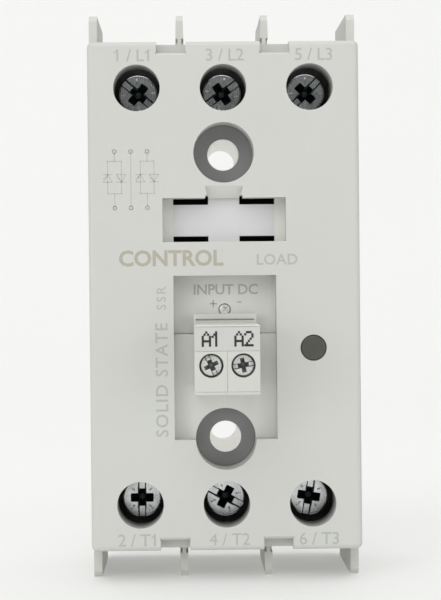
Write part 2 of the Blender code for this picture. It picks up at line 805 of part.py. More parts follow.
def build_terminal_screw(name, x, z, angle):
    head_front = HEAD_BACK + TERMINAL_HEAD_THICKNESS
    profile = [
        (TERMINAL_SCREW_RADIUS, HEAD_BACK - TERMINAL_SCREW_LENGTH),
        (TERMINAL_SCREW_RADIUS, HEAD_BACK),
        (TERMINAL_HEAD_RADIUS, HEAD_BACK),
        (TERMINAL_HEAD_RADIUS, head_front - GAP),
        (TERMINAL_HEAD_RADIUS - GAP, head_front),
    ]
    screw = turned(f"terminal_screw_{name}", x, z, profile, 24, ZINC)
    tools = []
    reaches = ((0.0, TERMINAL_HEAD_RADIUS + REACH), (90.0, TERMINAL_HEAD_RADIUS * DRIVE_REACH))
    for turn, reach in reaches:
        slot = block(
            f"driver_slot_{name}_{turn:.0f}",
            spread(0, reach),
            (head_front - TERMINAL_SLOT_DEPTH, head_front + REACH),
            spread(0, TERMINAL_SLOT_WIDTH / 2),
        )
        slot.data.transform(Matrix.Rotation(-math.radians(angle + turn), 4, "Y"))
        slot.data.transform(Matrix.Translation((x, 0, z)))
        tools.append(slot)
    cut(screw, *tools)
    move_origin(screw, x, HEAD_BACK, z)


def build_busbar(name, column, row):
    """A bent strip: the tab under the wire clamp, the leg through the deck and the foot on the substrate."""
    x = column * TERMINAL_PITCH
    bar = block(
        f"busbar_{name}",
        spread(x, BUSBAR_WIDTH / 2),
        (TAB_BACK, TAB_FRONT),
        mirrored(LEG_INNER, TAB_OUTER, row),
        COPPER,
    )
    leg = block(
        f"busbar_leg_{name}",
        spread(x, BUSBAR_WIDTH / 2),
        (FOOT_BACK, TAB_FRONT),
        mirrored(LEG_INNER, LEG_OUTER, row),
    )
    foot = block(
        f"busbar_foot_{name}",
        spread(x, BUSBAR_WIDTH / 2),
        (FOOT_BACK, FOOT_BACK + BUSBAR_THICKNESS),
        mirrored(LEG_OUTER - BUSBAR_FOOT_LENGTH, LEG_OUTER, row),
    )
    join(bar, leg, foot)
    bore = TERMINAL_SCREW_RADIUS + THREAD_GAP
    tab_through = (TAB_BACK - REACH, TAB_FRONT + REACH)
    cut(bar, drum(f"busbar_bore_{name}", x, row * TERMINAL_HEIGHT, bore, tab_through, 20))


def build_bridge():
    """The middle pole isn't switched: one bar joins its two terminals, beside the mounting tubes."""
    runner_inner = MOUNT_TUBE_RADIUS + GAP * 2
    bridge = block(
        "busbar_l2_t2",
        (runner_inner, runner_inner + BRIDGE_RUNNER_WIDTH),
        (BRIDGE_RUNNER_DEPTH, BRIDGE_RUNNER_DEPTH + BUSBAR_THICKNESS),
        spread(0, LEG_OUTER),
        COPPER,
    )
    pieces = []
    bores = []
    for row in (-1, 1):
        pieces.append(
            block(
                f"bridge_leg_{row}",
                (0, BRIDGE_LEG_WIDTH),
                (BRIDGE_RUNNER_DEPTH, TAB_FRONT),
                mirrored(LEG_INNER, LEG_OUTER, row),
            )
        )
        pieces.append(
            block(
                f"bridge_tab_{row}",
                spread(0, BUSBAR_WIDTH / 2),
                (TAB_BACK, TAB_FRONT),
                mirrored(LEG_INNER, TAB_OUTER, row),
            )
        )
        bore = TERMINAL_SCREW_RADIUS + THREAD_GAP
        tab = (TAB_BACK - REACH, TAB_FRONT + REACH)
        bores.append(drum(f"bridge_bore_{row}", 0, row * TERMINAL_HEIGHT, bore, tab, 20))
    join(bridge, *pieces)
    cut(bridge, *bores)


# ---------------------------------------------------------------- power semiconductors


def build_power_stage(tag, side):
    x = side * TERMINAL_PITCH - side * (SUBSTRATE_WIDTH - BUSBAR_WIDTH) / 4
    block(
        f"substrate_{tag}",
        spread(x, SUBSTRATE_WIDTH / 2),
        (SUBSTRATE_BACK, SUBSTRATE_FRONT),
        spread(0, SUBSTRATE_LENGTH / 2),
        CERAMIC,
    )
    chip_back = SUBSTRATE_FRONT + GAP
    for level, row in (("upper", 1), ("lower", -1)):
        block(
            f"thyristor_{tag}_{level}",
            spread(x, CHIP_SIZE / 2),
            (chip_back, chip_back + CHIP_THICKNESS),
            spread(row * CHIP_OFFSET, CHIP_SIZE / 2),
            SILICON,
        )
    drum(f"gate_pin_{tag}", x, 0, GATE_PIN_RADIUS, (chip_back, BOARD_DEPTH - GAP), 12, COPPER)


# ---------------------------------------------------------------- circuit board


def build_board():
    board = block(
        "circuit_board",
        spread(0, HALF_WIDTH - HOUSING_WALL - GAP),
        (BOARD_DEPTH, BOARD_FRONT),
        spread(0, INNER_WALL_START - GAP),
        BOARD_GREEN,
    )
    through = (BOARD_DEPTH - REACH, BOARD_FRONT + REACH)
    holes = [
        drum(f"board_hole_{side}", 0, side * MOUNT_HEIGHT, MOUNT_TUBE_RADIUS + GAP, through, 32)
        for side in (-1, 1)
    ]
    webs = [
        block(
            f"board_web_{side}",
            spread(0, MOUNT_TUBE_RADIUS / 2 + GAP),
            through,
            mirrored(MOUNT_HEIGHT + MOUNT_HOLE_RADIUS, INNER_WALL_START + REACH, side),
        )
        for side in (-1, 1)
    ]
    pins = [
        drum(f"board_pin_hole_{side}", side * PLUG_PITCH / 2, HEADER_PIN_Z, HEADER_PIN_RADIUS + GAP, through, 12)
        for side in (-1, 1)
    ]
    cut(board, *holes, *webs, *pins)


def build_board_parts():
    front = BOARD_FRONT + GAP
    back = BOARD_DEPTH - GAP
    width, height, length = OPTO_SIZE
    for tag, side in (("left", -1), ("right", 1)):
        block(
            f"optocoupler_{tag}",
            spread(side * OPTO_OFFSET, width / 2),
            (front, front + height),
            spread(0, length / 2),
            EPOXY_BLACK,
        )
    for tag, side in (("upper", 1), ("lower", -1)):
        faces = spread(0, VARISTOR_THICKNESS / 2)
        disc = drum(f"varistor_{tag}", 0, 0, VARISTOR_RADIUS, faces, 24, VARISTOR_BLUE)
        disc.data.transform(Matrix.Rotation(math.pi / 2, 4, "X"))
        disc.location = (0, VARISTOR_RADIUS - back, side * VARISTOR_OFFSET)
    width, height, length = CAPACITOR_SIZE
    block(
        "snubber_capacitor",
        spread(-OPTO_OFFSET, width / 2),
        (back - height, back),
        spread(CAPACITOR_HEIGHT, length / 2),
        FILM_YELLOW,
    )
    width, height, length = DRIVER_SIZE
    block(
        "driver_chip",
        spread(0, width / 2),
        (front, front + height),
        spread(DRIVER_HEIGHT, length / 2),
        EPOXY_BLACK,
    )
    block(
        "status_led",
        spread(0, LED_RADIUS),
        (front, front + LED_RADIUS),
        spread(LED_HEIGHT, LED_RADIUS),
        LENS_CLEAR,
    )
    guide_back = front + LED_RADIUS + GAP
    profile = [
        (LED_RADIUS + LED_FLANGE, guide_back),
        (LED_RADIUS + LED_FLANGE, guide_back + LED_RADIUS),
        (LED_RADIUS, guide_back + LED_RADIUS),
        (LED_RADIUS, POCKET_FLOOR + GAP),
    ]
    turned("light_guide", 0, LED_HEIGHT, profile, 20, LENS_CLEAR)


def build_window():
    """The smoked window over the internal indicator, with a flange behind the face."""
    flange_front = FACE_DEPTH - COVER_WALL - GAP
    profile = [
        (WINDOW_RADIUS + WINDOW_FLANGE, flange_front - WINDOW_FLANGE_THICKNESS),
        (WINDOW_RADIUS + WINDOW_FLANGE, flange_front),
        (WINDOW_RADIUS, flange_front),
        (WINDOW_RADIUS, FACE_DEPTH - GAP),
        (WINDOW_RADIUS - GAP, FACE_DEPTH),
    ]
    turned("indicator_window", WINDOW_X, WINDOW_Z, profile, 32, LENS_SMOKED)


# ---------------------------------------------------------------- control header


def build_header():
    header = block(
        "control_header",
        spread(0, PLUG_HALF_WIDTH),
        (HEADER_BACK, HEADER_FRONT),
        (PLUG_BOTTOM, HEADER_TOP),
        PLUG_GREY,
    )
    join(
        header,
        block(
            "header_stem",
            spread(0, PLUG_HALF_WIDTH - HEADER_STEM_INSET),
            (BOARD_FRONT + GAP, HEADER_BACK + ROOT),
            (PLUG_BOTTOM + HEADER_STEM_INSET, HEADER_TOP - HEADER_STEM_INSET * 2),
        ),
    )
    bores = []
    for name, side, _ in POLES:
        x = side * PLUG_PITCH / 2
        bore = HEADER_PIN_RADIUS + GAP
        bores.append(drum(f"header_bore_{name}", x, HEADER_PIN_Z, bore, (BOARD_FRONT - REACH, PLUG_BACK), 12))
        pin_span = (BOARD_DEPTH - REACH, PLUG_BACK + HEADER_PIN_REACH)
        drum(f"header_pin_{name}", x, HEADER_PIN_Z, HEADER_PIN_RADIUS, pin_span, 12, COPPER)
    cut(header, *bores)


# ---------------------------------------------------------------- control plug


def build_plug():
    plug = block(
        "plug_body",
        spread(0, PLUG_HALF_WIDTH),
        (PLUG_BACK, PLUG_FRONT_DEPTH),
        (PLUG_BOTTOM, PLUG_TOP),
        PLUG_GREY,
    )
    tools = [
        block(
            "label_recess",
            spread(0, PLUG_HALF_WIDTH + REACH),
            (PLUG_FRONT_DEPTH - LABEL_THICKNESS - GAP, PLUG_FRONT_DEPTH + REACH),
            (LABEL_BOTTOM - GAP, PLUG_TOP - LABEL_MARGIN),
        )
    ]
    for name, side, angle in POLES:
        x = side * PLUG_PITCH / 2
        tools += plug_pole_cuts(name, x)
        build_cage(name, x)
        build_contact(name, x)
        build_plug_screw(name, x, angle)
    cut(plug, *tools)
    block(
        "plug_label",
        spread(0, PLUG_HALF_WIDTH - LABEL_MARGIN),
        (PLUG_FRONT_DEPTH - LABEL_THICKNESS, PLUG_FRONT_DEPTH),
        (LABEL_BOTTOM, PLUG_TOP - LABEL_MARGIN - GAP),
        LABEL_GREY,
    )
    move_origin(plug, 0, PLUG_BACK, PLUG_BOTTOM)


def cage_span():
    return spread(PLUG_SCREW_Z, CAGE_HEIGHT / 2)


def plug_pole_cuts(name, x):
    """The screw well, the room that the cage moves in, the wire entry and the pin's way in."""
    low, high = cage_span()
    socket_low, socket_high = spread(HEADER_PIN_Z, SOCKET_HEIGHT / 2)
    shank = PLUG_SCREW_RADIUS + GAP
    return [
        drum(f"plug_well_{name}", x, PLUG_SCREW_Z, PLUG_WELL_RADIUS, (PLUG_SEAT, PLUG_FRONT_DEPTH + REACH), 28),
        drum(f"plug_shank_{name}", x, PLUG_SCREW_Z, shank, (CAGE_ROOM_FRONT - REACH, PLUG_SEAT + REACH), 16),
        block(
            f"cage_room_{name}",
            spread(x, CAGE_HALF_WIDTH + GAP),
            (CAGE_BACK - GAP, CAGE_ROOM_FRONT),
            (low - GAP, high + GAP),
        ),
        block(
            f"socket_room_{name}",
            spread(x, SOCKET_HALF_WIDTH + GAP),
            (CAGE_BACK - GAP, CONTACT_FRONT + GAP),
            (high, socket_high + GAP),
        ),
        block(
            f"wire_entry_{name}",
            spread(x, CAGE_HALF_WIDTH - CAGE_SIDE_WALL),
            (CAGE_BACK + CAGE_WALL, CONTACT_BACK),
            (PLUG_BOTTOM - REACH, low),
        ),
        drum(f"pin_entry_{name}", x, HEADER_PIN_Z, HEADER_PIN_RADIUS + GAP, (PLUG_BACK - REACH, CAGE_BACK), 12),
    ]


def build_cage(name, x):
    """The clamp cage. The screw draws it forward, and the wire is pinched under the contact strip."""
    low, high = cage_span()
    cage = block(
        f"clamp_cage_{name}", spread(x, CAGE_HALF_WIDTH), (CAGE_BACK, CAGE_FRONT), (low, high), ZINC
    )
    cut(
        cage,
        block(
            f"cage_window_{name}",
            spread(x, CAGE_HALF_WIDTH - CAGE_SIDE_WALL),
            (CAGE_BACK + CAGE_WALL, CAGE_FRONT - CAGE_WALL),
            (low - REACH, high + REACH),
        ),
        drum(
            f"cage_bore_{name}",
            x,
            PLUG_SCREW_Z,
            PLUG_SCREW_RADIUS + GAP,
            (CAGE_FRONT - CAGE_WALL - REACH, CAGE_FRONT + REACH),
            16,
        ),
    )
    move_origin(cage, x, CAGE_BACK, PLUG_SCREW_Z)


def build_contact(name, x):
    """The fixed contact: a strip through the cage, and the socket that takes the header's pin."""
    low, high = cage_span()
    socket_low, socket_high = spread(HEADER_PIN_Z, SOCKET_HEIGHT / 2)
    half = CAGE_HALF_WIDTH - CAGE_SIDE_WALL - GAP
    contact = block(
        f"plug_contact_{name}", spread(x, half), (CONTACT_BACK, CONTACT_FRONT), (low, socket_high), COPPER
    )
    socket_back = CAGE_BACK
    inner = max(socket_low, high + GAP)
    join(
        contact,
        block(
            f"socket_block_{name}",
            spread(x, SOCKET_HALF_WIDTH),
            (socket_back, CONTACT_FRONT),
            (inner, socket_high),
        ),
    )
    bore = HEADER_PIN_RADIUS + GAP
    bored = (socket_back - REACH, CONTACT_FRONT - GAP)
    cut(contact, drum(f"socket_bore_{name}", x, HEADER_PIN_Z, bore, bored, 12))


def build_plug_screw(name, x, angle):
    head_back = PLUG_SEAT + GAP
    head_front = head_back + PLUG_HEAD_THICKNESS
    profile = [
        (PLUG_SCREW_RADIUS, CONTACT_FRONT + GAP),
        (PLUG_SCREW_RADIUS, head_back),
        (PLUG_HEAD_RADIUS, head_back),
        (PLUG_HEAD_RADIUS, head_front - GAP),
        (PLUG_HEAD_RADIUS - GAP, head_front),
    ]
    screw = turned(f"plug_screw_{name}", x, PLUG_SCREW_Z, profile, 20, ZINC)
    slot = block(
        f"plug_driver_slot_{name}",
        spread(0, PLUG_HEAD_RADIUS + REACH),
        (head_front - PLUG_SLOT_DEPTH, head_front + REACH),
        spread(0, PLUG_SLOT_WIDTH / 2),
    )
    slot.data.transform(Matrix.Rotation(-math.radians(angle), 4, "Y"))
    slot.data.transform(Matrix.Translation((x, 0, PLUG_SCREW_Z)))
    cut(screw, slot)
    move_origin(screw, x, head_back, PLUG_SCREW_Z)


# ---------------------------------------------------------------- assembly

for startup_object in list(bpy.data.objects):
    bpy.data.objects.remove(startup_object, do_unlink=True)

build_base_plate()
build_plate_screws()
build_base_housing()
build_front_cover()
for terminal in TERMINALS:
    build_terminal(*terminal)
    if terminal[1]:
        build_busbar(*terminal[:3])
build_bridge()
build_power_stage("left", -1)
build_power_stage("right", 1)
build_board()
build_board_parts()
build_window()
build_header()
build_plug()
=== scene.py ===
"""The look of a slim solid state relay: surfaces, fine edges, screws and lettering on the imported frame."""

import math

import bmesh
import bpy
from mathutils import Matrix, Vector


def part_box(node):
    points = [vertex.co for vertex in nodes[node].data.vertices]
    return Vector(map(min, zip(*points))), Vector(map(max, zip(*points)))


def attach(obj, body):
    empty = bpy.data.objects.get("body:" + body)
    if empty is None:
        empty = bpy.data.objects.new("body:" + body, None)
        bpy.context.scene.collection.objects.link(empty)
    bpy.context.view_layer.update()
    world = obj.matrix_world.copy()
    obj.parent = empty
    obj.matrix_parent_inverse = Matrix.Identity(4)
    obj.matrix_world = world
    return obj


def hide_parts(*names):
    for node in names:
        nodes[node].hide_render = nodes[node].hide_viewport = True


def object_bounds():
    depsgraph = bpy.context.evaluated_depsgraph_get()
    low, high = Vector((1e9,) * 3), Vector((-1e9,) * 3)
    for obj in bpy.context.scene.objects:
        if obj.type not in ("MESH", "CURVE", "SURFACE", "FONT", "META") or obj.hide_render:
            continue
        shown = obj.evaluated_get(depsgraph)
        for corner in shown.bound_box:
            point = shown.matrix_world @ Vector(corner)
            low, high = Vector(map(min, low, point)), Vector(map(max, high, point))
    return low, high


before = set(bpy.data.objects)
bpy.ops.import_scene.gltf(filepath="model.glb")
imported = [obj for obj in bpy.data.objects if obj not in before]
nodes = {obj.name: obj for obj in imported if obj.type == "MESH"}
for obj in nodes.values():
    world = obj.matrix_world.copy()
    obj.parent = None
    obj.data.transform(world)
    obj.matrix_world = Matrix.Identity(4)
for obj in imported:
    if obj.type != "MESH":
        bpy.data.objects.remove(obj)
cad_low, cad_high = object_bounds()

# ---------------------------------------------------------------- camera
# A short telephoto view from almost straight in front, a hand's width left of the relay's middle,
# with the faint tilt of a camera that isn't quite level.

mm = 0.001
camera_place = Vector((-6.4, -338.0, 2.35)) * mm
camera_target = Vector((-0.75, -33.0, -0.65)) * mm
bpy.ops.object.select_all(action="DESELECT")
bpy.ops.object.camera_add(location=camera_place)
camera = bpy.context.object
camera.name = "camera"
camera.data.lens = 110.7
camera.data.sensor_width = 36.0
camera.data.clip_start = 0.01
aim = (camera_target - camera_place).to_track_quat("-Z", "Y").to_matrix()
camera.rotation_euler = (aim @ Matrix.Rotation(math.radians(-0.55), 3, "Z")).to_euler()
bpy.context.scene.camera = camera

# ---------------------------------------------------------------- front cover
# The light grey moulded cap: one shell with driver holes, two deep screw cups, the accessory recess
# with its latch slots and thumb ramp, and the pocket for the control plug. Every moulded edge is eased.

FACE = -33.0 * mm
SPLIT = -26.0 * mm
COVER_WALL = 1.6 * mm
COLUMNS = (-14.3 * mm, 0.0, 14.3 * mm)
TERMINAL_Z = 34.5 * mm
DRIVER_RADIUS = 3.85 * mm
SEAT_Z = 23.75 * mm
CUP_RADIUS = 5.0 * mm
CUP_LEDGE = -26.2 * mm
MOUNT_RADIUS = 2.66 * mm
POCKET = ((-8.5 * mm, 8.5 * mm), (-23.75 * mm, 3.4 * mm))
POCKET_FLOOR = -28.5 * mm
PLATEAU_FLOOR = -29.5 * mm
PLATEAU_TOP = -6.3 * mm
RECESS = ((-10.2 * mm, 10.2 * mm), (9.0 * mm, 16.25 * mm))
RECESS_FLOOR = -29.5 * mm
LATCH_X = (2.6 * mm, 8.45 * mm)
LATCH_HEIGHT = 0.98 * mm
RAMP_TOP = 18.26 * mm
NOTCH_X = (6.15 * mm, 11.0 * mm)
NOTCH_BACKING_X = (4.8 * mm, 12.35 * mm)
LIP_SOFTNESS = 0.22 * mm
COLLAR_WALL = 1.35 * mm
HEADER_WAY = ((-4.93 * mm, 4.93 * mm), (-15.3 * mm, -3.8 * mm))
GUIDE_Z = -2.3 * mm
WINDOW_X, WINDOW_Z = 14.6 * mm, -8.7 * mm
EDGE_EASE = 0.16 * mm
STRAY = 1e-6
FLAT = math.radians(0.5)


def take(obj, name):
    """Names the newest object, puts its place in its mesh and leaves nothing selected."""
    obj.name = name
    obj.data.name = name
    bpy.ops.object.transform_apply(location=True, rotation=True, scale=True)
    obj.select_set(False)
    return obj


def block(name, x, y, z):
    bpy.ops.object.select_all(action="DESELECT")
    middle = [(low + high) / 2 for low, high in (x, y, z)]
    bpy.ops.mesh.primitive_cube_add(size=1.0, location=middle)
    obj = bpy.context.object
    obj.scale = [high - low for low, high in (x, y, z)]
    return take(obj, name)


def round_bar(name, x, z, radius, y, sides=64, end_radius=None):
    """A bar along Y from y[0] at the front to y[1] at the back, with the second radius at the back."""
    bpy.ops.object.select_all(action="DESELECT")
    bpy.ops.mesh.primitive_cone_add(
        vertices=sides,
        radius1=end_radius or radius,
        radius2=radius,
        depth=y[1] - y[0],
        location=(x, (y[0] + y[1]) / 2, z),
        rotation=(math.pi / 2, 0.0, 0.0),
    )
    return take(bpy.context.object, name)


def pick(obj):
    """Selects one piece alone and makes it the active one."""
    bpy.ops.object.select_all(action="DESELECT")
    bpy.context.view_layer.objects.active = obj
    obj.select_set(True)


def finish_modifiers(obj):
    """Applies the modifiers in their order and leaves nothing selected."""
    pick(obj)
    for modifier in list(obj.modifiers):
        bpy.ops.object.modifier_apply(modifier=modifier.name)
    obj.select_set(False)


def shape_with(target, tool, operation="DIFFERENCE"):
    """Cuts with a tool, or welds it on, and throws the tool away."""
    change = target.modifiers.new(tool.name, "BOOLEAN")
    change.operation = operation
    change.solver = "EXACT"
    change.object = tool
    finish_modifiers(target)
    bpy.data.objects.remove(tool, do_unlink=True)


def weld(obj):
    """Joins stray points and merges the faces that lie flat together, and stays in edit mode."""
    pick(obj)
    bpy.ops.object.mode_set(mode="EDIT")
    bpy.ops.mesh.select_all(action="SELECT")
    bpy.ops.mesh.remove_doubles(threshold=STRAY)
    bpy.ops.mesh.dissolve_limited(angle_limit=FLAT)


def ease_edges(obj, width, segments=2, angle=32.0):
    """Welds a piece, rounds its sharp edges, and smooths what is round."""
    weld(obj)
    bpy.ops.mesh.normals_make_consistent(inside=False)
    bpy.ops.object.mode_set(mode="OBJECT")
    rounding = obj.modifiers.new("eased_edges", "BEVEL")
    rounding.width = width
    rounding.segments = segments
    rounding.limit_method = "ANGLE"
    rounding.angle_limit = math.radians(angle)
    rounding.miter_outer = "MITER_ARC"
    finish_modifiers(obj)
    pick(obj)
    bpy.ops.object.shade_smooth_by_angle(angle=math.radians(angle))
    obj.select_set(False)
    weighted = obj.modifiers.new("flat_faces_stay_flat", "WEIGHTED_NORMAL")
    weighted.keep_sharp = True
    finish_modifiers(obj)


def both_rows(low, high, row):
    """A span on the positive side, or its mirror image where row is negative."""
    return (low, high) if row > 0 else (-high, -low)


def choose_edges(obj, wanted):
    """In edit mode, selects the edges whose two corners are as wanted."""
    bpy.ops.mesh.select_mode(type="EDGE")
    bpy.ops.mesh.select_all(action="DESELECT")
    mesh = bmesh.from_edit_mesh(obj.data)
    for edge in mesh.edges:
        edge.select_set(wanted([vert.co for vert in edge.verts]))
    bmesh.update_edit_mesh(obj.data)


def outer_round(obj, width, segments, y_limit, reach=min):
    """Rounds the edges that reach in front of y_limit, or with max those wholly in front of it."""
    pick(obj)
    bpy.ops.object.mode_set(mode="EDIT")
    choose_edges(obj, lambda corners: reach(corner.y for corner in corners) < y_limit)
    bpy.ops.mesh.bevel(offset=width, segments=segments, profile=0.5, affect="EDGES")
    bpy.ops.object.mode_set(mode="OBJECT")
    obj.select_set(False)


cover_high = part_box("front_cover")[1]
half_width = cover_high.x
half_height = cover_high.z
cover = block("cover_shell", (-half_width, half_width), (FACE, SPLIT), (-half_height, half_height))
outer_round(cover, 0.9 * mm, 4, (FACE + SPLIT) / 2)
inside_x = (COVER_WALL - half_width, half_width - COVER_WALL)
inside_z = (COVER_WALL - half_height, half_height - COVER_WALL)
shape_with(cover, block("cover_inside", inside_x, (FACE + COVER_WALL, SPLIT + mm), inside_z))

behind_face = FACE + COVER_WALL / 2
wall = 1.4 * mm
shape_with(
    cover,
    block(
        "pocket_box",
        (POCKET[0][0] - wall, POCKET[0][1] + wall),
        (behind_face, POCKET_FLOOR + wall),
        (POCKET[1][0] - wall, POCKET[1][1] + wall),
    ),
    "UNION",
)
shape_with(
    cover,
    block(
        "recess_box",
        (RECESS[0][0] - wall, RECESS[0][1] + wall),
        (behind_face, RECESS_FLOOR + wall),
        (RECESS[1][0] - wall, RECESS[1][1] + 3.4 * mm),
    ),
    "UNION",
)
for row in (1, -1):
    cup_depth = (behind_face, CUP_LEDGE + 1.2 * mm)
    cup = round_bar(f"cup_{row}", 0.0, row * SEAT_Z, CUP_RADIUS + COLLAR_WALL, cup_depth)
    shape_with(cover, cup, "UNION")
    for column, x in enumerate(COLUMNS):
        radius = DRIVER_RADIUS + COLLAR_WALL
        collar = round_bar(f"collar_{column}_{row}", x, row * TERMINAL_Z, radius, (behind_face, SPLIT))
        shape_with(cover, collar, "UNION")
    for side in (1, -1):
        backing = block(
            f"notch_backing_{row}_{side}",
            both_rows(*NOTCH_BACKING_X, side),
            (behind_face, SPLIT),
            both_rows(half_height - 3.25 * mm, half_height - COVER_WALL / 2, row),
        )
        shape_with(cover, backing, "UNION")

front = FACE - mm
through = (front, SPLIT)
NOTCH_STEPS = (((front, FACE + 2.6 * mm), 1.9 * mm), ((FACE + 2.4 * mm, SPLIT + mm), 0.25 * mm))
for row in (1, -1):
    for column, x in enumerate(COLUMNS):
        hole_depth = (front, SPLIT + mm)
        hole = round_bar(f"driver_hole_{column}_{row}", x, row * TERMINAL_Z, DRIVER_RADIUS, hole_depth)
        shape_with(cover, hole)
    for side in (1, -1):
        for depth_range, foot in NOTCH_STEPS:
            notch = block(
                f"notch_{row}_{side}",
                both_rows(*NOTCH_X, side),
                depth_range,
                both_rows(half_height - foot, half_height + mm, row),
            )
            shape_with(cover, notch)
        lip = block(
            f"notch_lip_{row}_{side}",
            both_rows(NOTCH_X[0] - 0.1 * mm, NOTCH_X[1] + 0.1 * mm, side),
            (-LIP_SOFTNESS, LIP_SOFTNESS),
            (-LIP_SOFTNESS, LIP_SOFTNESS),
        )
        lip.data.transform(Matrix.Rotation(math.pi / 4, 4, "X"))
        lip.data.transform(Matrix.Translation((0.0, FACE, row * (half_height - 1.95 * mm))))
        shape_with(cover, lip)
shape_with(cover, block("pocket_space", POCKET[0], (front, POCKET_FLOOR), (PLATEAU_TOP, POCKET[1][1])))
plateau_z = (POCKET[1][0], PLATEAU_TOP + mm / 2)
shape_with(cover, block("plateau_space", POCKET[0], (front, PLATEAU_FLOOR), plateau_z))
shape_with(cover, block("header_way", HEADER_WAY[0], through, HEADER_WAY[1]))
shape_with(cover, block("recess_space", RECESS[0], (front, RECESS_FLOOR), RECESS[1]))
shape_with(cover, round_bar("light_guide_hole", 0.0, GUIDE_Z, 1.02 * mm, through, 32))
shape_with(cover, round_bar("window_hole", WINDOW_X, WINDOW_Z, 2.17 * mm, through, 64))
for row in (1, -1):
    shape_with(cover, round_bar(f"cup_space_{row}", 0.0, row * SEAT_Z, CUP_RADIUS, (front, CUP_LEDGE), 96))
    hole_depth = (front, SPLIT + 3 * mm)
    shape_with(cover, round_bar(f"cup_hole_{row}", 0.0, row * SEAT_Z, MOUNT_RADIUS, hole_depth))

# A fine line marks the step between the pocket's floor and the lower plateau under the plug.
line_depth = (front, PLATEAU_FLOOR + 1.15 * mm)
line_z = (PLATEAU_TOP - 0.06 * mm, PLATEAU_TOP + 0.07 * mm)
shape_with(cover, block("plateau_line", POCKET[0], line_depth, line_z))

# The thumb ramp falls from the face to the recess floor, and the latch slots step up beside it.
ramp_z = (RECESS[1][1] - mm / 2, RAMP_TOP)
ramp = block("ramp_space", (-3.15 * mm, 3.15 * mm), (front, RECESS_FLOOR), ramp_z)
ramp_mesh = bmesh.new()
ramp_mesh.from_mesh(ramp.data)
for vert in ramp_mesh.verts:
    if vert.co.z > RECESS[1][1] and vert.co.y > FACE:
        vert.co.y = FACE
    if vert.co.z < RECESS[1][1]:
        vert.co.x *= 0.825
ramp_mesh.to_mesh(ramp.data)
ramp_mesh.free()
shape_with(cover, ramp)
for side in (1, -1):
    for row, edge in ((1, RECESS[1][1]), (-1, RECESS[1][0])):
        slot_z = (edge - LATCH_HEIGHT, edge) if row > 0 else (edge, edge + LATCH_HEIGHT)
        slot_depth = (RECESS_FLOOR - mm / 2, SPLIT - mm / 2)
        shape_with(cover, block(f"latch_{row}_{side}", both_rows(*LATCH_X, side), slot_depth, slot_z))
    step_x = both_rows(LATCH_X[0], LATCH_X[0] + 0.5 * mm, side)
    step_z = (RECESS[1][1] - LATCH_HEIGHT, RECESS[1][1] + 0.42 * mm)
    shape_with(cover, block(f"latch_step_{side}", step_x, (front, SPLIT - mm / 2), step_z))
ease_edges(cover, EDGE_EASE)


def noise(tree, vector, scale, detail=2.0, roughness=0.5):
    """A noise pattern on the given vector, in features per metre."""
    node = tree.nodes.new("ShaderNodeTexNoise")
    tree.links.new(vector, node.inputs["Vector"])
    node.inputs["Scale"].default_value = scale
    node.inputs["Detail"].default_value = detail
    node.inputs["Roughness"].default_value = roughness
    return node.outputs["Fac"]


def mixed(tree, amount, first, second):
    """A blend of two colours, each given as numbers or as a socket."""
    node = tree.nodes.new("ShaderNodeMix")
    node.data_type = "RGBA"
    for value, socket in ((amount, node.inputs[0]), (first, node.inputs[6]), (second, node.inputs[7])):
        if isinstance(value, bpy.types.NodeSocket):
            tree.links.new(value, socket)
        elif isinstance(value, (int, float)):
            socket.default_value = value
        else:
            socket.default_value = (*value, 1.0)
    return node.outputs[2]


def arithmetic(tree, operation, first, second, third=None):
    """A sum, product or the like of numbers or sockets."""
    node = tree.nodes.new("ShaderNodeMath")
    node.operation = operation
    for value, socket in zip((first, second, third), node.inputs):
        if isinstance(value, bpy.types.NodeSocket):
            tree.links.new(value, socket)
        elif value is not None:
            socket.default_value = value
    return node.outputs[0]


def object_place(tree):
    return tree.nodes.new("ShaderNodeTexCoord").outputs["Object"]


def start_surface(name, first, second):
    """A surface group: two colours and a gloss go in, and a colour, a gloss and a relief come out."""
    group = bpy.data.node_groups.new(name, "ShaderNodeTree")
    sockets = {"INPUT": (first, second, "Roughness"), "OUTPUT": ("Colour", "Roughness", "Height")}
    for way, labels in sockets.items():
        for label in labels:
            kind = "NodeSocketFloat" if label in ("Roughness", "Height") else "NodeSocketColor"
            group.interface.new_socket(name=label, in_out=way, socket_type=kind)
    return group, group.nodes.new("NodeGroupInput"), object_place(group)


def finish_surface(group, colour, rough, height):
    made = group.nodes.new("NodeGroupOutput")
    for value, socket in zip((colour, rough, height), made.inputs):
        group.links.new(value, socket)
    return group


def make_spark_texture():
    """The fine eroded texture that a steel mould leaves on plastic, with the resin's faint cloud."""
    group, given, place = start_surface("moulded_texture", "Light", "Dark")
    grain = noise(group, place, 6500.0, 3.0, 0.6)
    pits = noise(group, place, 2200.0, 2.0)
    cloud = noise(group, place, 55.0, 3.0, 0.6)
    fleck = noise(group, place, 900.0, 1.0)
    shade = arithmetic(group, "MULTIPLY_ADD", cloud, 0.75, arithmetic(group, "MULTIPLY", fleck, 0.25))
    colour = mixed(group, shade, given.outputs["Light"], given.outputs["Dark"])
    rough = arithmetic(group, "MULTIPLY_ADD", grain, 0.12, given.outputs["Roughness"])
    return finish_surface(group, colour, rough, arithmetic(group, "MULTIPLY_ADD", pits, 0.5, grain))


spark_texture = make_spark_texture()


def start_material(name):
    """A new material with its tree and its shader."""
    material = bpy.data.materials.new(name)
    material.use_nodes = True
    return material, material.node_tree, material.node_tree.nodes["Principled BSDF"]


def add_relief(tree, shader, height, strength, distance):
    """Fine relief that the light shows up, without a change of shape."""
    bump = tree.nodes.new("ShaderNodeBump")
    bump.inputs["Strength"].default_value = strength
    bump.inputs["Distance"].default_value = distance
    tree.links.new(height, bump.inputs["Height"])
    tree.links.new(bump.outputs["Normal"], shader.inputs["Normal"])


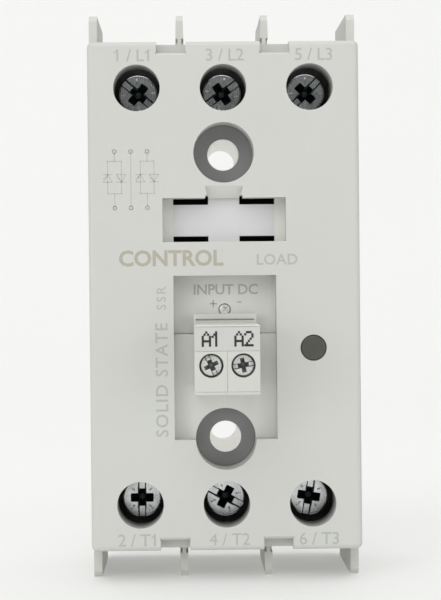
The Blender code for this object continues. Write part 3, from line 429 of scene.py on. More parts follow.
def surfaced(name, group, first, second, roughness, relief, distance):
    """A material whose colour, gloss and relief come from a surface group, with its shader."""
    material, tree, shader = start_material(name)
    texture = tree.nodes.new("ShaderNodeGroup")
    texture.node_tree = group
    texture.inputs[0].default_value = (*first, 1.0)
    texture.inputs[1].default_value = (*second, 1.0)
    texture.inputs["Roughness"].default_value = roughness
    tree.links.new(texture.outputs["Colour"], shader.inputs["Base Color"])
    tree.links.new(texture.outputs["Roughness"], shader.inputs["Roughness"])
    add_relief(tree, shader, texture.outputs["Height"], relief, distance)
    return material, shader


def moulded_plastic(name, light, dark, roughness, relief, specular=0.35):
    """Plastic straight from a textured mould."""
    material, shader = surfaced(name, spark_texture, light, dark, roughness, relief, 0.02 * mm)
    shader.inputs["Specular IOR Level"].default_value = specular
    return material


def dress(obj, material):
    """Gives a piece one material in place of any that it has."""
    obj.data.materials.clear()
    obj.data.materials.append(material)


cover_plastic = moulded_plastic("cover_plastic", (0.60, 0.605, 0.577), (0.565, 0.57, 0.543), 0.5, 0.5)
dress(cover, cover_plastic)

# Down the driver holes the plastic is in shade, and darkens from the mouth to the foot.
well_plastic = moulded_plastic("well_plastic", (0.56, 0.565, 0.54), (0.52, 0.525, 0.50), 0.5, 0.5)
tree = well_plastic.node_tree
shader = tree.nodes["Principled BSDF"]
depth = tree.nodes.new("ShaderNodeSeparateXYZ")
tree.links.new(object_place(tree), depth.inputs["Vector"])
shade = tree.nodes.new("ShaderNodeMapRange")
SHADE_FROM, SHADE_TO = FACE + 1.0 * mm, FACE + 7.5 * mm
for edge, y in (("From Min", SHADE_FROM), ("From Max", SHADE_TO)):
    shade.inputs[edge].default_value = y
tree.links.new(depth.outputs["Y"], shade.inputs["Value"])
fade = tree.nodes.new("ShaderNodeMix")
fade.data_type = "RGBA"
fade.inputs["B"].default_value = (0.05, 0.05, 0.052, 1.0)
tree.links.new(shade.outputs["Result"], fade.inputs["Factor"])
tree.links.new(shader.inputs["Base Color"].links[0].from_socket, fade.inputs["A"])
tree.links.new(fade.outputs["Result"], shader.inputs["Base Color"])

# The floors of the pocket and the recess get a lighter colour than the face: painted light that lifts them out
# of the shade of the walls around them.
floor_painted_light = moulded_plastic("floor_painted_light", (0.735, 0.74, 0.70), (0.70, 0.705, 0.665), 0.5, 0.5)
cover.data.materials.append(well_plastic)
cover.data.materials.append(floor_painted_light)
WELL_SLOT, FLOOR_SLOT = 1, 2
for polygon in cover.data.polygons:
    middle = polygon.center
    # Sunk faces that look to the front, in the pocket and the recess, take the floor colour with its painted
    # light.
    sunk = middle.y > FACE + 0.5 * mm and polygon.normal.y < -0.5
    if sunk and abs(middle.x) < RECESS[0][1] and POCKET[1][0] < middle.z < RAMP_TOP + 0.24 * mm:
        polygon.material_index = FLOOR_SLOT
    for x in COLUMNS:
        reach = math.hypot(middle.x - x, abs(middle.z) - TERMINAL_Z) - DRIVER_RADIUS
        if -0.25 * mm < reach < 0.04 * mm and abs(polygon.normal.y) < 0.5:
            polygon.material_index = WELL_SLOT
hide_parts("front_cover")
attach(cover, "root")

# ---------------------------------------------------------------- screw seats
# A dark grey ring lies on the floor of each screw cup, where the mounting screw's head bears.

seat_plastic = moulded_plastic("seat_plastic", (0.31, 0.31, 0.315), (0.265, 0.265, 0.27), 0.45, 0.3)
for label, row in (("upper", 1), ("lower", -1)):
    seat_depth = (CUP_LEDGE - 0.3 * mm, CUP_LEDGE - 0.02 * mm)
    seat = round_bar(f"screw_seat_{label}", 0.0, row * SEAT_Z, CUP_RADIUS - 0.02 * mm, seat_depth, 96)
    shape_with(seat, round_bar("seat_hole", 0.0, row * SEAT_Z, MOUNT_RADIUS, (CUP_LEDGE - mm, CUP_LEDGE + mm)))
    ease_edges(seat, 0.06 * mm, 1)
    dress(seat, seat_plastic)
    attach(seat, "root")

# ---------------------------------------------------------------- recess inlay
# A thin white plastic strip lies on the floor of the accessory recess. Its narrow waist passes between
# the four latch slots, and it is glued down.

inlay_plastic = moulded_plastic("recess_inlay", (0.68, 0.67, 0.685), (0.66, 0.65, 0.665), 0.5, 0.2)
sheet = (RECESS_FLOOR - 0.03 * mm, RECESS_FLOOR + 0.03 * mm)
SHEET_EDGE, TONGUE_EDGE = 1.02 * mm, 0.03 * mm
sheet_z = (RECESS[1][0] + SHEET_EDGE, RECESS[1][1] - SHEET_EDGE)
tongue_z = (RECESS[1][0] + TONGUE_EDGE, RECESS[1][1] - TONGUE_EDGE)
inlay = block("recess_inlay", (-8.4 * mm, 8.4 * mm), sheet, sheet_z)
tongue = block("tongue", (-2.55 * mm, 2.55 * mm), sheet, tongue_z)
shape_with(inlay, tongue, "UNION")
ease_edges(inlay, 0.01 * mm, 1)
dress(inlay, inlay_plastic)
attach(inlay, "root")

# ---------------------------------------------------------------- mounting sleeves
# A thin sleeve lines each mounting hole, with the faint rings that the drawn core pin left. Its white
# colour is partly the plastic's own light grey and partly painted light, and its faint glow is painted
# light, for the light that comes through the bore from behind.

sleeve_painted_light = moulded_plastic("sleeve_painted_light", (0.94, 0.94, 0.92), (0.90, 0.90, 0.88), 0.5, 0.3)
painted_glow = sleeve_painted_light.node_tree.nodes["Principled BSDF"]
# Painted light: a faint glow, though the sleeve is no lamp.
painted_glow.inputs["Emission Color"].default_value = (1.0, 0.99, 0.96, 1.0)
painted_glow.inputs["Emission Strength"].default_value = 0.12
SLEEVE_DEPTH = (CUP_LEDGE + 0.05 * mm, -3.05 * mm)
BORE_MOUTH, BORE_FOOT = 2.6 * mm, 2.38 * mm
for label, row in (("upper", 1), ("lower", -1)):
    z = row * SEAT_Z
    sleeve = round_bar(f"mounting_sleeve_{label}", 0.0, z, MOUNT_RADIUS - 0.01 * mm, SLEEVE_DEPTH, 64)
    bore_depth = (SLEEVE_DEPTH[0] - mm, SLEEVE_DEPTH[1] + mm)
    shape_with(sleeve, round_bar("sleeve_bore", 0.0, z, BORE_MOUTH, bore_depth, 64, BORE_FOOT))
    for ring in range(3):
        y = CUP_LEDGE + (3.0 + 2.6 * ring) * mm
        shape_with(sleeve, round_bar("sleeve_ring", 0.0, z, 2.61 * mm, (y, y + 0.5 * mm), 64))
    ease_edges(sleeve, 0.02 * mm, 1)
    dress(sleeve, sleeve_painted_light)
    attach(sleeve, "root")

# ---------------------------------------------------------------- base housing
# The deeper half of the case, moulded in the same plastic a shade cooler. Long fins at both ends keep
# neighbouring terminals apart, with a small notch at each fin's root.


def add_object(name, mesh):
    """Puts a mesh in the scene as a piece."""
    obj = bpy.data.objects.new(name, mesh)
    bpy.context.scene.collection.objects.link(obj)
    return obj


housing_plastic = moulded_plastic("housing_plastic", (0.61, 0.615, 0.585), (0.575, 0.58, 0.55), 0.52, 0.5)
housing = add_object("base_housing_fine", nodes["base_housing"].data.copy())
housing.data.transform(nodes["base_housing"].matrix_world)
weld(housing)
bpy.ops.object.mode_set(mode="OBJECT")
housing.select_set(False)
FIN_X = 7.15 * mm
FIN_ROOT_Z = (41.95 * mm, 43.5 * mm)
housing_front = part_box("base_housing")[0].y
for row in (1, -1):
    for side in (1, -1):
        for flank in (1, -1):
            root_gap = both_rows(0.3 * mm, 1.2 * mm, flank)
            notch = block(
                "fin_root_notch",
                [side * FIN_X + offset for offset in root_gap],
                (housing_front - mm, housing_front + 4.0 * mm),
                both_rows(*FIN_ROOT_Z, row),
            )
            shape_with(housing, notch)
    tube_space = (CUP_LEDGE - mm, -2.0 * mm)
    shape_with(housing, round_bar(f"tube_space_{row}", 0.0, row * SEAT_Z, MOUNT_RADIUS, tube_space, 64))
ease_edges(housing, EDGE_EASE, 2, 40.0)
dress(housing, housing_plastic)
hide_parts("base_housing")
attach(housing, "root")

# ---------------------------------------------------------------- terminal screws
# Zinc plated M4 screws with a combined slot and cross. The cross has its four fine tick marks, and
# each screw stopped at its own angle when it was last turned.


def make_plating():
    """Bright plating: faint cloudy passivation, fine handling scratches and a little uneven gloss."""
    group, given, place = start_surface("bright_plating", "Bright", "Dull")
    cloud = noise(group, place, 420.0, 4.0, 0.6)
    stretch = group.nodes.new("ShaderNodeMapping")
    stretch.inputs["Scale"].default_value = (1.0, 0.2, 0.06)
    stretch.inputs["Rotation"].default_value = (0.0, 0.6, 0.0)
    group.links.new(place, stretch.inputs["Vector"])
    scratches = noise(group, stretch.outputs["Vector"], 9000.0, 2.0)
    contrast = arithmetic(group, "MULTIPLY_ADD", cloud, 2.2, -0.6)
    colour = mixed(group, contrast, given.outputs["Bright"], given.outputs["Dull"])
    uneven = arithmetic(group, "MULTIPLY_ADD", cloud, 0.16, given.outputs["Roughness"])
    rough = arithmetic(group, "MULTIPLY_ADD", scratches, 0.1, uneven)
    return finish_surface(group, colour, rough, scratches)


plating = make_plating()


def plated_metal(name, bright, dull, roughness, relief):
    """Metal under the plating."""
    material, shader = surfaced(name, plating, bright, dull, roughness, relief, 0.01 * mm)
    shader.inputs["Metallic"].default_value = 1.0
    return material


zinc = plated_metal("bright_zinc", (0.87, 0.88, 0.87), (0.62, 0.655, 0.67), 0.14, 0.35)
recess_painted_shade = plated_metal("shadowed_recess", (0.11, 0.15, 0.155), (0.05, 0.075, 0.08), 0.4, 0.5)


def turn_about(obj, degrees, x, z):
    """Turns a piece about a line along Y, anticlockwise as seen from the front."""
    spin = Matrix.Rotation(-math.radians(degrees), 4, "Y")
    obj.data.transform(Matrix.Translation((x, 0.0, z)) @ spin @ Matrix.Translation((-x, 0.0, -z)))


def model_screw(name, head_radius, head_height, shank_radius, shank_length, slot_width, wing, wing_width):
    """A cheese-head screw on the Y axis, with its head's underside at y = 0 and its slot along X."""
    top = -head_height
    screw = round_bar(name, 0.0, 0.0, head_radius, (top, 0.0), 72)
    outer_round(screw, 0.07 * head_radius, 3, top / 2, max)
    shank = round_bar("shank", 0.0, 0.0, shank_radius, (-head_height / 2, shank_length), 40)
    shape_with(screw, shank, "UNION")
    pitch = 0.36 * shank_radius
    for ring in range(int(shank_length / pitch) - 1):
        y = shank_length - (ring + 1) * pitch
        groove = round_bar("thread_groove", 0.0, 0.0, shank_radius * 1.2, (y, y + 0.13 * shank_radius), 40)
        core = round_bar("thread_core", 0.0, 0.0, shank_radius * 0.86, (y - mm, y + mm), 40)
        shape_with(groove, core)
        shape_with(screw, groove)
    slot_x = (-head_radius * 1.2, head_radius * 1.2)
    slot_z = (-slot_width / 2, slot_width / 2)
    shape_with(screw, block("slot", slot_x, (top - mm, top + 0.3 * head_height), slot_z))
    line = 0.034 * head_radius
    for edge in slot_z:
        line_depth = (top - mm, top + 0.5 * head_height)
        shape_with(screw, block("slot_line", slot_x, line_depth, (edge - line, edge + line)))
    cross_depth = (top - 0.2 * mm, top + head_height * 0.9)
    for quarter in (0.0, 90.0):
        cross = block("cross_wing", (-wing, wing), cross_depth, (-wing_width, wing_width))
        taper = bmesh.new()
        taper.from_mesh(cross.data)
        for vert in taper.verts:
            if vert.co.y > top:
                vert.co.x *= 0.28
                vert.co.z *= 0.45
        taper.to_mesh(cross.data)
        taper.free()
        ease_edges(cross, 0.22 * wing_width, 2)
        turn_about(cross, quarter, 0.0, 0.0)
        shape_with(screw, cross)
    for quarter in range(4):
        tick = block(
            "tick",
            (head_radius * 0.55, head_radius * 0.85),
            (top - mm, top + 0.08 * head_radius),
            (-0.04 * head_radius, 0.04 * head_radius),
        )
        turn_about(tick, 45.0 + 90.0 * quarter, 0.0, 0.0)
        shape_with(screw, tick)
    ease_edges(screw, 0.02 * head_radius, 2)
    dress(screw, zinc)
    screw.data.materials.append(recess_painted_shade)
    # Painted shade: faces deep in the cross recess and on the lines along the slot's edges take the second,
    # dark metal.
    for polygon in screw.data.polygons:
        middle = polygon.center
        inside = math.hypot(middle.x, middle.z) < wing
        walls = middle.y > top + 0.02 * head_radius and polygon.normal.y > -0.9
        deep = middle.y > top + 0.32 * head_height
        if inside and middle.y < -0.02 * mm and (deep or walls):
            polygon.material_index = 1
        elif middle.y > top + 0.02 * head_radius and abs(abs(middle.z) - slot_width / 2) < line * 1.3:
            polygon.material_index = 1
    return screw


def place_copy(model, name, x, y, z, degrees):
    """A copy of a screw with its own mesh, turned to its own angle."""
    copy = add_object(name, model.data.copy())
    turn_about(copy, degrees, 0.0, 0.0)
    copy.data.transform(Matrix.Translation((x, y, z)))
    return copy


HEAD_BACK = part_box("wire_clamp_l1")[0].y - 0.3 * mm
SLOT_ANGLES = {"l1": -40.0, "l2": 35.0, "l3": 45.0, "t1": 90.0, "t2": -28.0, "t3": 80.0}
screw_model = model_screw(
    "screw_model",
    head_radius=3.28 * mm,
    head_height=2.18 * mm,
    shank_radius=1.93 * mm,
    shank_length=8.95 * mm,
    slot_width=1.15 * mm,
    wing=2.1 * mm,
    wing_width=0.78 * mm,
)
for terminal, angle in SLOT_ANGLES.items():
    low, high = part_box(f"terminal_screw_{terminal}")
    x, z = (low.x + high.x) / 2, (low.z + high.z) / 2
    screw = place_copy(screw_model, f"terminal_screw_fine_{terminal}", x, HEAD_BACK, z, angle)
    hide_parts(f"terminal_screw_{terminal}")
    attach(screw, f"screw_{terminal}")
bpy.data.objects.remove(screw_model, do_unlink=True)

# ---------------------------------------------------------------- wire clamps and nuts
# Square saddle washers stamped from steel; their near-black colour is painted shade of the terminal
# chambers. The screws press them on the wires and the busbars, their turned-up rims keep them square, and
# the nuts below take the thread.

steel_painted_shade = plated_metal("steel_with_painted_shade", (0.085, 0.085, 0.085), (0.035, 0.035, 0.036), 0.34, 0.4)
for terminal in SLOT_ANGLES:
    low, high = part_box(f"wire_clamp_{terminal}")
    x, z = (low.x + high.x) / 2, (low.z + high.z) / 2
    row = 1 if z > 0 else -1
    clamp_z = both_rows(abs(z) - 4 * mm, abs(z) + 4.72 * mm, row)
    clamp = block(f"wire_clamp_fine_{terminal}", (low.x, high.x), (low.y, high.y), clamp_z)
    for side in (1, -1):
        rim = block(
            "clamp_rim",
            [x + offset for offset in both_rows(3.45 * mm, 4.2 * mm, side)],
            (low.y - 0.35 * mm, low.y + 0.3 * mm),
            both_rows(abs(z) - 3.2 * mm, abs(z) + 3.9 * mm, row),
        )
        shape_with(clamp, rim, "UNION")
    for groove in range(3):
        y_span = (high.y - 0.15 * mm, high.y + mm)
        groove_z = row * (abs(z) + 2.5 * mm + groove * 0.75 * mm)
        z_span = (groove_z - 0.15 * mm, groove_z + 0.15 * mm)
        shape_with(clamp, block("grip_groove", (low.x - mm, high.x + mm), y_span, z_span))
    shape_with(clamp, round_bar("clamp_hole", x, z, 2.3 * mm, (low.y - mm, high.y + mm), 48))
    ease_edges(clamp, 0.15 * mm, 2)
    dress(clamp, steel_painted_shade)
    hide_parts(f"wire_clamp_{terminal}")
    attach(clamp, f"clamp_{terminal}")
    dress(nodes[f"terminal_nut_{terminal}"], steel_painted_shade)

# ---------------------------------------------------------------- busbars, pins and contacts
# Copper alloy strips and pins with a thin, slightly yellow plating. The strips are punched and bent,
# and the pins are drawn wire, soldered to the board.

plated_copper = plated_metal("plated_copper", (0.78, 0.60, 0.36), (0.62, 0.44, 0.24), 0.28, 0.4)
for name in nodes:
    if name.startswith(("busbar", "gate_pin", "header_pin", "plug_contact")):
        dress(nodes[name], plated_copper)

# ---------------------------------------------------------------- base plate and its screws
# A milled aluminium plate, which is the contact face for the heat sink. The cutter left faint swirls
# on it, and four countersunk screws hold it to the housing.

milled, tree, shader = start_material("milled_aluminium")
shader.inputs["Metallic"].default_value = 1.0
place = object_place(tree)
swirl = tree.nodes.new("ShaderNodeTexWave")
swirl.wave_type = "RINGS"
swirl.rings_direction = "Y"
swirl.inputs["Scale"].default_value = 900.0
swirl.inputs["Distortion"].default_value = 1.4
swirl.inputs["Detail"].default_value = 3.0
centre = tree.nodes.new("ShaderNodeMapping")
centre.inputs["Location"].default_value = (0.06, 0.0, 0.12)
tree.links.new(place, centre.inputs["Vector"])
tree.links.new(centre.outputs["Vector"], swirl.inputs["Vector"])
handling = noise(tree, place, 90.0, 4.0, 0.6)
metal_colour = mixed(tree, handling, (0.80, 0.80, 0.79), (0.66, 0.665, 0.67))
tree.links.new(metal_colour, shader.inputs["Base Color"])
tree.links.new(arithmetic(tree, "MULTIPLY_ADD", handling, 0.22, 0.24), shader.inputs["Roughness"])
add_relief(tree, shader, swirl.outputs["Fac"], 0.36, 0.01 * mm)
dress(nodes["base_plate"], milled)
for name in nodes:
    if name.startswith("plate_screw"):
        dress(nodes[name], zinc)

# ---------------------------------------------------------------- control header
# The board's moulded pin header looks out of the pocket floor. Its flange carries a long groove above
# the plug, and its two pins stand in their own ways.

POLE_X = 2.54 * mm
PIN_Z = -7.2 * mm
PIN_WAY_RADIUS = 0.8 * mm
plug_plastic = moulded_plastic("plug_plastic", (0.605, 0.61, 0.57), (0.58, 0.585, 0.545), 0.42, 0.25, 0.45)
header_low, header_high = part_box("control_header")
flange_depth = (header_low.y, header_low.y + 1.15 * mm)
header = block("control_header_fine", (-5.2 * mm, 5.2 * mm), flange_depth, (-15.55 * mm, -2.92 * mm))
stem_depth = (header_low.y + 0.5 * mm, header_high.y)
shape_with(header, block("stem", (-4.6 * mm, 4.6 * mm), stem_depth, (-15.0 * mm, -4.1 * mm)), "UNION")
groove_depth = (header_low.y - mm, header_low.y + 0.55 * mm)
shape_with(header, block("groove", (-4.9 * mm, 4.9 * mm), groove_depth, (-4.05 * mm, -3.85 * mm)))
for side in (1, -1):
    way_depth = (header_low.y - mm, header_high.y + mm)
    shape_with(header, round_bar("pin_way", side * POLE_X, PIN_Z, PIN_WAY_RADIUS, way_depth, 24))
ease_edges(header, 0.12 * mm, 2)
dress(header, plug_plastic)
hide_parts("control_header")
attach(header, "root")

# ---------------------------------------------------------------- control plug
# The pull-off plug: two poles side by side, with a sunk label strip above and a screw well in each pole.
# The wires go in from below, and a shallow joint line parts the poles.

plug_low, plug_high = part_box("plug_body")
plug_x = (plug_low.x, plug_high.x)
across = (plug_x[0] - mm, plug_x[1] + mm)
ahead = plug_low.y - mm
below = plug_low.z - mm
PLUG_SCREW_Z = -10.9 * mm
plug = block("plug_body_fine", plug_x, (plug_low.y, plug_high.y), (plug_low.z, plug_high.z))
outer_round(plug, 0.22 * mm, 2, plug_low.y + mm / 2)
shape_with(plug, block("label_bed", across, (ahead, plug_low.y + 0.7 * mm), (-8.62 * mm, -4.72 * mm)))
line_depth = (ahead, plug_low.y + 0.12 * mm)
shape_with(plug, block("joint_line", (-0.04 * mm, 0.04 * mm), line_depth, (below, -8.6 * mm)))
shape_with(plug, block("foot_line", across, line_depth, (-15.1 * mm, -15.0 * mm)))
CAGE_ROOM = (2.1 * mm, (-41.3 * mm, -32.2 * mm), (-13.5 * mm, -8.3 * mm))
WIRE_WAY = (1.35 * mm, (-36.1 * mm, -33.3 * mm), (below, -13 * mm))
SOCKET_ROOM = (1.55 * mm, (-37.2 * mm, -32.2 * mm), (-8.6 * mm, -5.75 * mm))
for side in (1, -1):
    x = side * POLE_X
    shape_with(plug, round_bar("well", x, PLUG_SCREW_Z, 1.93 * mm, (ahead, plug_low.y + 3.5 * mm), 64))
    shank_depth = (plug_low.y + 3 * mm, plug_low.y + 6 * mm)
    shape_with(plug, round_bar("shank_way", x, PLUG_SCREW_Z, 1.25 * mm, shank_depth, 32))
    for half, room_y, room_z in (CAGE_ROOM, WIRE_WAY, SOCKET_ROOM):
        shape_with(plug, block("room", (x - half, x + half), room_y, room_z))
    shape_with(plug, round_bar("pin_way", x, PIN_Z, PIN_WAY_RADIUS, (FACE, plug_high.y + mm), 24))
    for rib in range(3):
        y = plug_low.y + (4.6 + 3.0 * rib) * mm
        grip = block("grip", both_rows(5.08 * mm, 6.5 * mm, side), (y, y + 1.2 * mm), (-13.6 * mm, -6.4 * mm))
        shape_with(plug, grip)
ease_edges(plug, 0.1 * mm, 2)
dress(plug, plug_plastic)
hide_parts("plug_body")
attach(plug, "plug")

bright_tin = plated_metal("bright_tin", (0.95, 0.95, 0.93), (0.80, 0.81, 0.80), 0.3, 0.35)
# The darker tin deep in the plug screws' cross and along their slot lines is painted shade.
plug_recess_painted_shade = plated_metal("plug_recess_painted_shade", (0.42, 0.44, 0.41), (0.24, 0.27, 0.245), 0.5, 0.5)
PLUG_HEAD_BACK = -43.8 * mm
plug_screw_model = model_screw(
    "plug_screw_model",
    head_radius=1.65 * mm,
    head_height=1.68 * mm,
    shank_radius=0.93 * mm,
    shank_length=6.55 * mm,
    slot_width=0.72 * mm,
    wing=1.3 * mm,
    wing_width=0.37 * mm,
)
for pole, side, angle in (("a1", -1, 115.0), ("a2", 1, 10.0)):
    name = f"plug_screw_fine_{pole}"
    screw = place_copy(plug_screw_model, name, side * POLE_X, PLUG_HEAD_BACK, PLUG_SCREW_Z, angle)
    screw.data.materials[0] = bright_tin
    screw.data.materials[1] = plug_recess_painted_shade
    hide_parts(f"plug_screw_{pole}")
    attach(screw, f"screw_{pole}")
    dress(nodes[f"clamp_cage_{pole}"], zinc)
bpy.data.objects.remove(plug_screw_model, do_unlink=True)

# ---------------------------------------------------------------- plug label
# A matte plastic strip pressed into the bed in the plug's front. A dot printer marks it, with each
# character five dots wide and seven high.

label_paper = moulded_plastic("label_strip", (0.575, 0.58, 0.555), (0.545, 0.55, 0.525), 0.6, 0.2)
label_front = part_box("plug_label")[0].y + 0.08 * mm
label_x = (plug_x[0] + 0.03 * mm, plug_x[1] - 0.03 * mm)
label = block("plug_label_fine", label_x, (label_front, label_front + 0.55 * mm), (-8.6 * mm, -4.74 * mm))
ease_edges(label, 0.04 * mm, 1)
dress(label, label_paper)
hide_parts("plug_label")
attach(label, "plug")
DOT_PATTERNS = {
    "A": ("  #  ", " # # ", "#   #", "#   #", "#####", "#   #", "#   #"),
    "1": ("  #", " ##", "# #", "  #", "  #", "  #", "  #"),
    "2": (" ### ", "#   #", "    #", "   # ", "  #  ", " #   ", "#####"),
}
DOT_X = 0.285 * mm
DOT_Z = 0.347 * mm
DOT_SIZE = 0.36 * mm
DOT_FILM = 0.012 * mm
LETTER_GAP = 0.45


def printed_ink(name, light, dark, roughness):
    """A thin print whose cover varies a little from place to place."""
    material, tree, shader = start_material(name)
    cover_of_ink = noise(tree, object_place(tree), 3000.0, 3.0, 0.6)
    tree.links.new(mixed(tree, cover_of_ink, light, dark), shader.inputs["Base Color"])
    tree.links.new(arithmetic(tree, "MULTIPLY_ADD", cover_of_ink, 0.2, roughness), shader.inputs["Roughness"])
    return material


black_ink = printed_ink("black_ink", (0.03, 0.03, 0.032), (0.012, 0.012, 0.013), 0.45)


def print_dots(name, text, x, z):
    """One character after another, from the text's lower left corner."""
    dots = bmesh.new()
    for character in text:
        rows = DOT_PATTERNS[character]
        for line, row in enumerate(rows):
            for column, mark in enumerate(row):
                if mark == "#":
                    height = z + (len(rows) - 1 - line) * DOT_Z
                    spot = Matrix.Translation((x + column * DOT_X, label_front - DOT_FILM / 2, height))
                    size = Matrix.Diagonal((DOT_SIZE, DOT_FILM, DOT_SIZE, 1.0))
                    bmesh.ops.create_cube(dots, size=1.0, matrix=spot @ size)
        x += (len(rows[0]) + LETTER_GAP) * DOT_X
    mesh = bpy.data.meshes.new(name)
    dots.to_mesh(mesh)
    dots.free()
    obj = add_object(name, mesh)
    dress(obj, black_ink)
    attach(obj, "plug")


print_dots("label_print_a1", "A1", -3.87 * mm, -7.71 * mm)
print_dots("label_print_a2", "A2", 1.29 * mm, -7.71 * mm)

# ---------------------------------------------------------------- status light and smoked window
# A clear moulded light guide ends in the pocket floor, with two small prisms cut in its tip. A smoked
# round lens, snapped in from behind, covers an indicator at the right.

clear, tree, shader = start_material("clear_guide")
# The clear guide is drawn opaque: its near-white colour, broken by darker facets, is painted glint and
# refraction.
facets = tree.nodes.new("ShaderNodeTexVoronoi")
facets.inputs["Scale"].default_value = 1800.0
tree.links.new(object_place(tree), facets.inputs["Vector"])
painted_glint = facets.outputs["Distance"]
tree.links.new(mixed(tree, painted_glint, (0.93, 0.93, 0.90), (0.55, 0.56, 0.52)), shader.inputs["Base Color"])
tree.links.new(arithmetic(tree, "MULTIPLY_ADD", painted_glint, 0.2, 0.08), shader.inputs["Roughness"])
add_relief(tree, shader, painted_glint, 0.36, 0.1 * mm)
shader.inputs["Coat Weight"].default_value = 0.8
guide_low, guide_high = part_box("light_guide")
guide = round_bar("light_guide_fine", 0.0, GUIDE_Z, 0.9 * mm, (guide_low.y, guide_high.y), 40, 0.99 * mm)
outer_round(guide, 0.25 * mm, 3, guide_low.y + mm / 2, max)
collar = round_bar("guide_collar", 0.0, GUIDE_Z, 1.48 * mm, (guide_high.y - 0.98 * mm, guide_high.y), 32)
shape_with(guide, collar, "UNION")
for turn in (35.0, 125.0):
    prism_depth = (guide_low.y - mm, guide_low.y + 0.3 * mm)
    prism = block("prism", (-0.5 * mm, 0.5 * mm), prism_depth, (-0.09 * mm, 0.09 * mm))
    turn_about(prism, turn, 0.0, 0.0)
    prism.data.transform(Matrix.Translation((0.12 * mm, 0.0, -2.2 * mm)))
    shape_with(guide, prism)
ease_edges(guide, 0.04 * mm, 2)
dress(guide, clear)
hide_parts("light_guide")
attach(guide, "root")
dress(nodes["status_led"], clear)

smoked = moulded_plastic("smoked_window", (0.088, 0.09, 0.076), (0.062, 0.063, 0.056), 0.24, 0.1, 0.5)
lens_depth = (FACE + 0.12 * mm, FACE + 2.0 * mm)
window = round_bar("indicator_window_fine", WINDOW_X, WINDOW_Z, 2.13 * mm, lens_depth, 72)
outer_round(window, 0.36 * mm, 2, FACE + mm, max)
flange = round_bar("flange", WINDOW_X, WINDOW_Z, 2.9 * mm, (FACE + 1.9 * mm, FACE + 2.85 * mm), 48)
shape_with(window, flange, "UNION")
ease_edges(window, 0.04 * mm, 1, 40.0)
dress(window, smoked)
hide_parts("indicator_window")
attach(window, "root")

# ---------------------------------------------------------------- what is inside
# The power stage and the circuit board, seen only through the wire doors and when the case is opened:
# fired ceramic with bare chips on it, and a green board with its black and coated components.

ceramic = moulded_plastic("fired_ceramic", (0.86, 0.86, 0.84), (0.80, 0.80, 0.78), 0.35, 0.4, 0.5)
silicon = moulded_plastic("silicon_chip", (0.20, 0.21, 0.23), (0.15, 0.16, 0.18), 0.18, 0.1, 0.5)
epoxy = moulded_plastic("black_epoxy", (0.035, 0.035, 0.036), (0.02, 0.02, 0.021), 0.5, 0.6)
varistor_coat = moulded_plastic("varistor_coat", (0.06, 0.17, 0.44), (0.04, 0.12, 0.34), 0.3, 0.5, 0.5)
film_case = moulded_plastic("film_case", (0.76, 0.53, 0.11), (0.68, 0.46, 0.08), 0.35, 0.3, 0.5)
solder_mask = moulded_plastic("solder_mask", (0.008, 0.035, 0.02), (0.005, 0.024, 0.014), 0.45, 0.4, 0.2)
FINISHES = (
    ("substrate", ceramic),
    ("thyristor", silicon),
    ("optocoupler", epoxy),
    ("driver_chip", epoxy),
    ("varistor", varistor_coat),
    ("snubber", film_case),
    ("circuit_board", solder_mask),
)
for start, finish in FINISHES:
    for name in nodes:
        if name.startswith(start):
            dress(nodes[name], finish)

# ---------------------------------------------------------------- marking
# Terminal designations, the wiring symbol and a few plain words. They are lasered into the plastic in
# a slightly darker grey, and one word is padded on in a warmer one.

laser_grey = printed_ink("laser_grey", (0.46, 0.465, 0.44), (0.40, 0.405, 0.38), 0.5)
warm_grey = printed_ink("warm_grey", (0.45, 0.43, 0.355), (0.39, 0.37, 0.30), 0.5)
FILM = 0.012 * mm
CAPITAL_SHARE = 0.7


def write(name, text, x, z, height, surface, ink, turn=0.0, stretch=1.0, weight=0.0):
    """Flat lettering just proud of a surface that faces the front, centred on x and z, in millimetres."""
    bpy.ops.object.select_all(action="DESELECT")
    bpy.ops.object.text_add()
    words = bpy.context.object
    words.data.body = text
    words.data.align_x = "CENTER"
    words.data.align_y = "CENTER"
    words.data.size = height * mm / CAPITAL_SHARE
    words.data.space_character = stretch
    words.data.offset = weight * mm
    words.data.extrude = FILM / 2
    words.data.resolution_u = 3
    bpy.ops.object.convert(target="MESH")
    words = bpy.context.object
    words.data.transform(Matrix.Rotation(math.radians(turn), 4, "Z"))
    words.data.transform(Matrix.Rotation(math.pi / 2, 4, "X"))
    words.data.transform(Matrix.Translation((x * mm, surface - FILM / 2, z * mm)))
    words.name = name
    words.select_set(False)
    dress(words, ink)
    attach(words, "root")
    return words


DESIGNATIONS = (
    ("1 / L1", -14.85, 39.75),
    ("3 / L2", 0.3, 39.75),
    ("5 / L3", 15.05, 39.75),
    ("2 / T1", -14.7, -40.4),
    ("4 / T2", 0.45, -40.4),
    ("6 / T3", 15.3, -40.4),
)

# The fount's 1 is a bare stroke, so each one gets a short flag of its own.
one_flags = []
for number, (text, x, z) in enumerate(DESIGNATIONS):
    weight = 0.0 if text.startswith("4") else 0.02
    words = write(f"designation_{number + 1}", text, x, z, 2.0, FACE, laser_grey, 0.0, 0.98, weight)
    left = min(vert.co.x for vert in words.data.vertices) / mm
    right = max(vert.co.x for vert in words.data.vertices) / mm
    high = max(vert.co.z for vert in words.data.vertices) / mm
    if text.startswith("1"):
        one_flags.append(((left + 0.1, high - 0.22), (left - 0.4, high - 0.62)))
    if text.endswith("1"):
        one_flags.append(((right - 0.14, high - 0.22), (right - 0.62, high - 0.62)))
write("control_supply", "INPUT DC", 0.2, 1.0, 1.7, POCKET_FLOOR, laser_grey, 0.0, 0.98, 0.035)
write("function_word", "CONTROL", -8.9, 6.2, 2.5, FACE, warm_grey, 0.0, 1.0, 0.1)
write("load_word", "LOAD", 8.65, 5.9, 1.75, FACE, laser_grey, 0.0, 1.04, 0.03)
write("type_words", "SOLID STATE", -10.45, -13.8, 2.0, FACE, laser_grey, 90.0, 1.15, 0.03)
write("type_initials", "SSR", -10.45, -0.3, 1.5, FACE, laser_grey, 90.0, 1.3, 0.02)


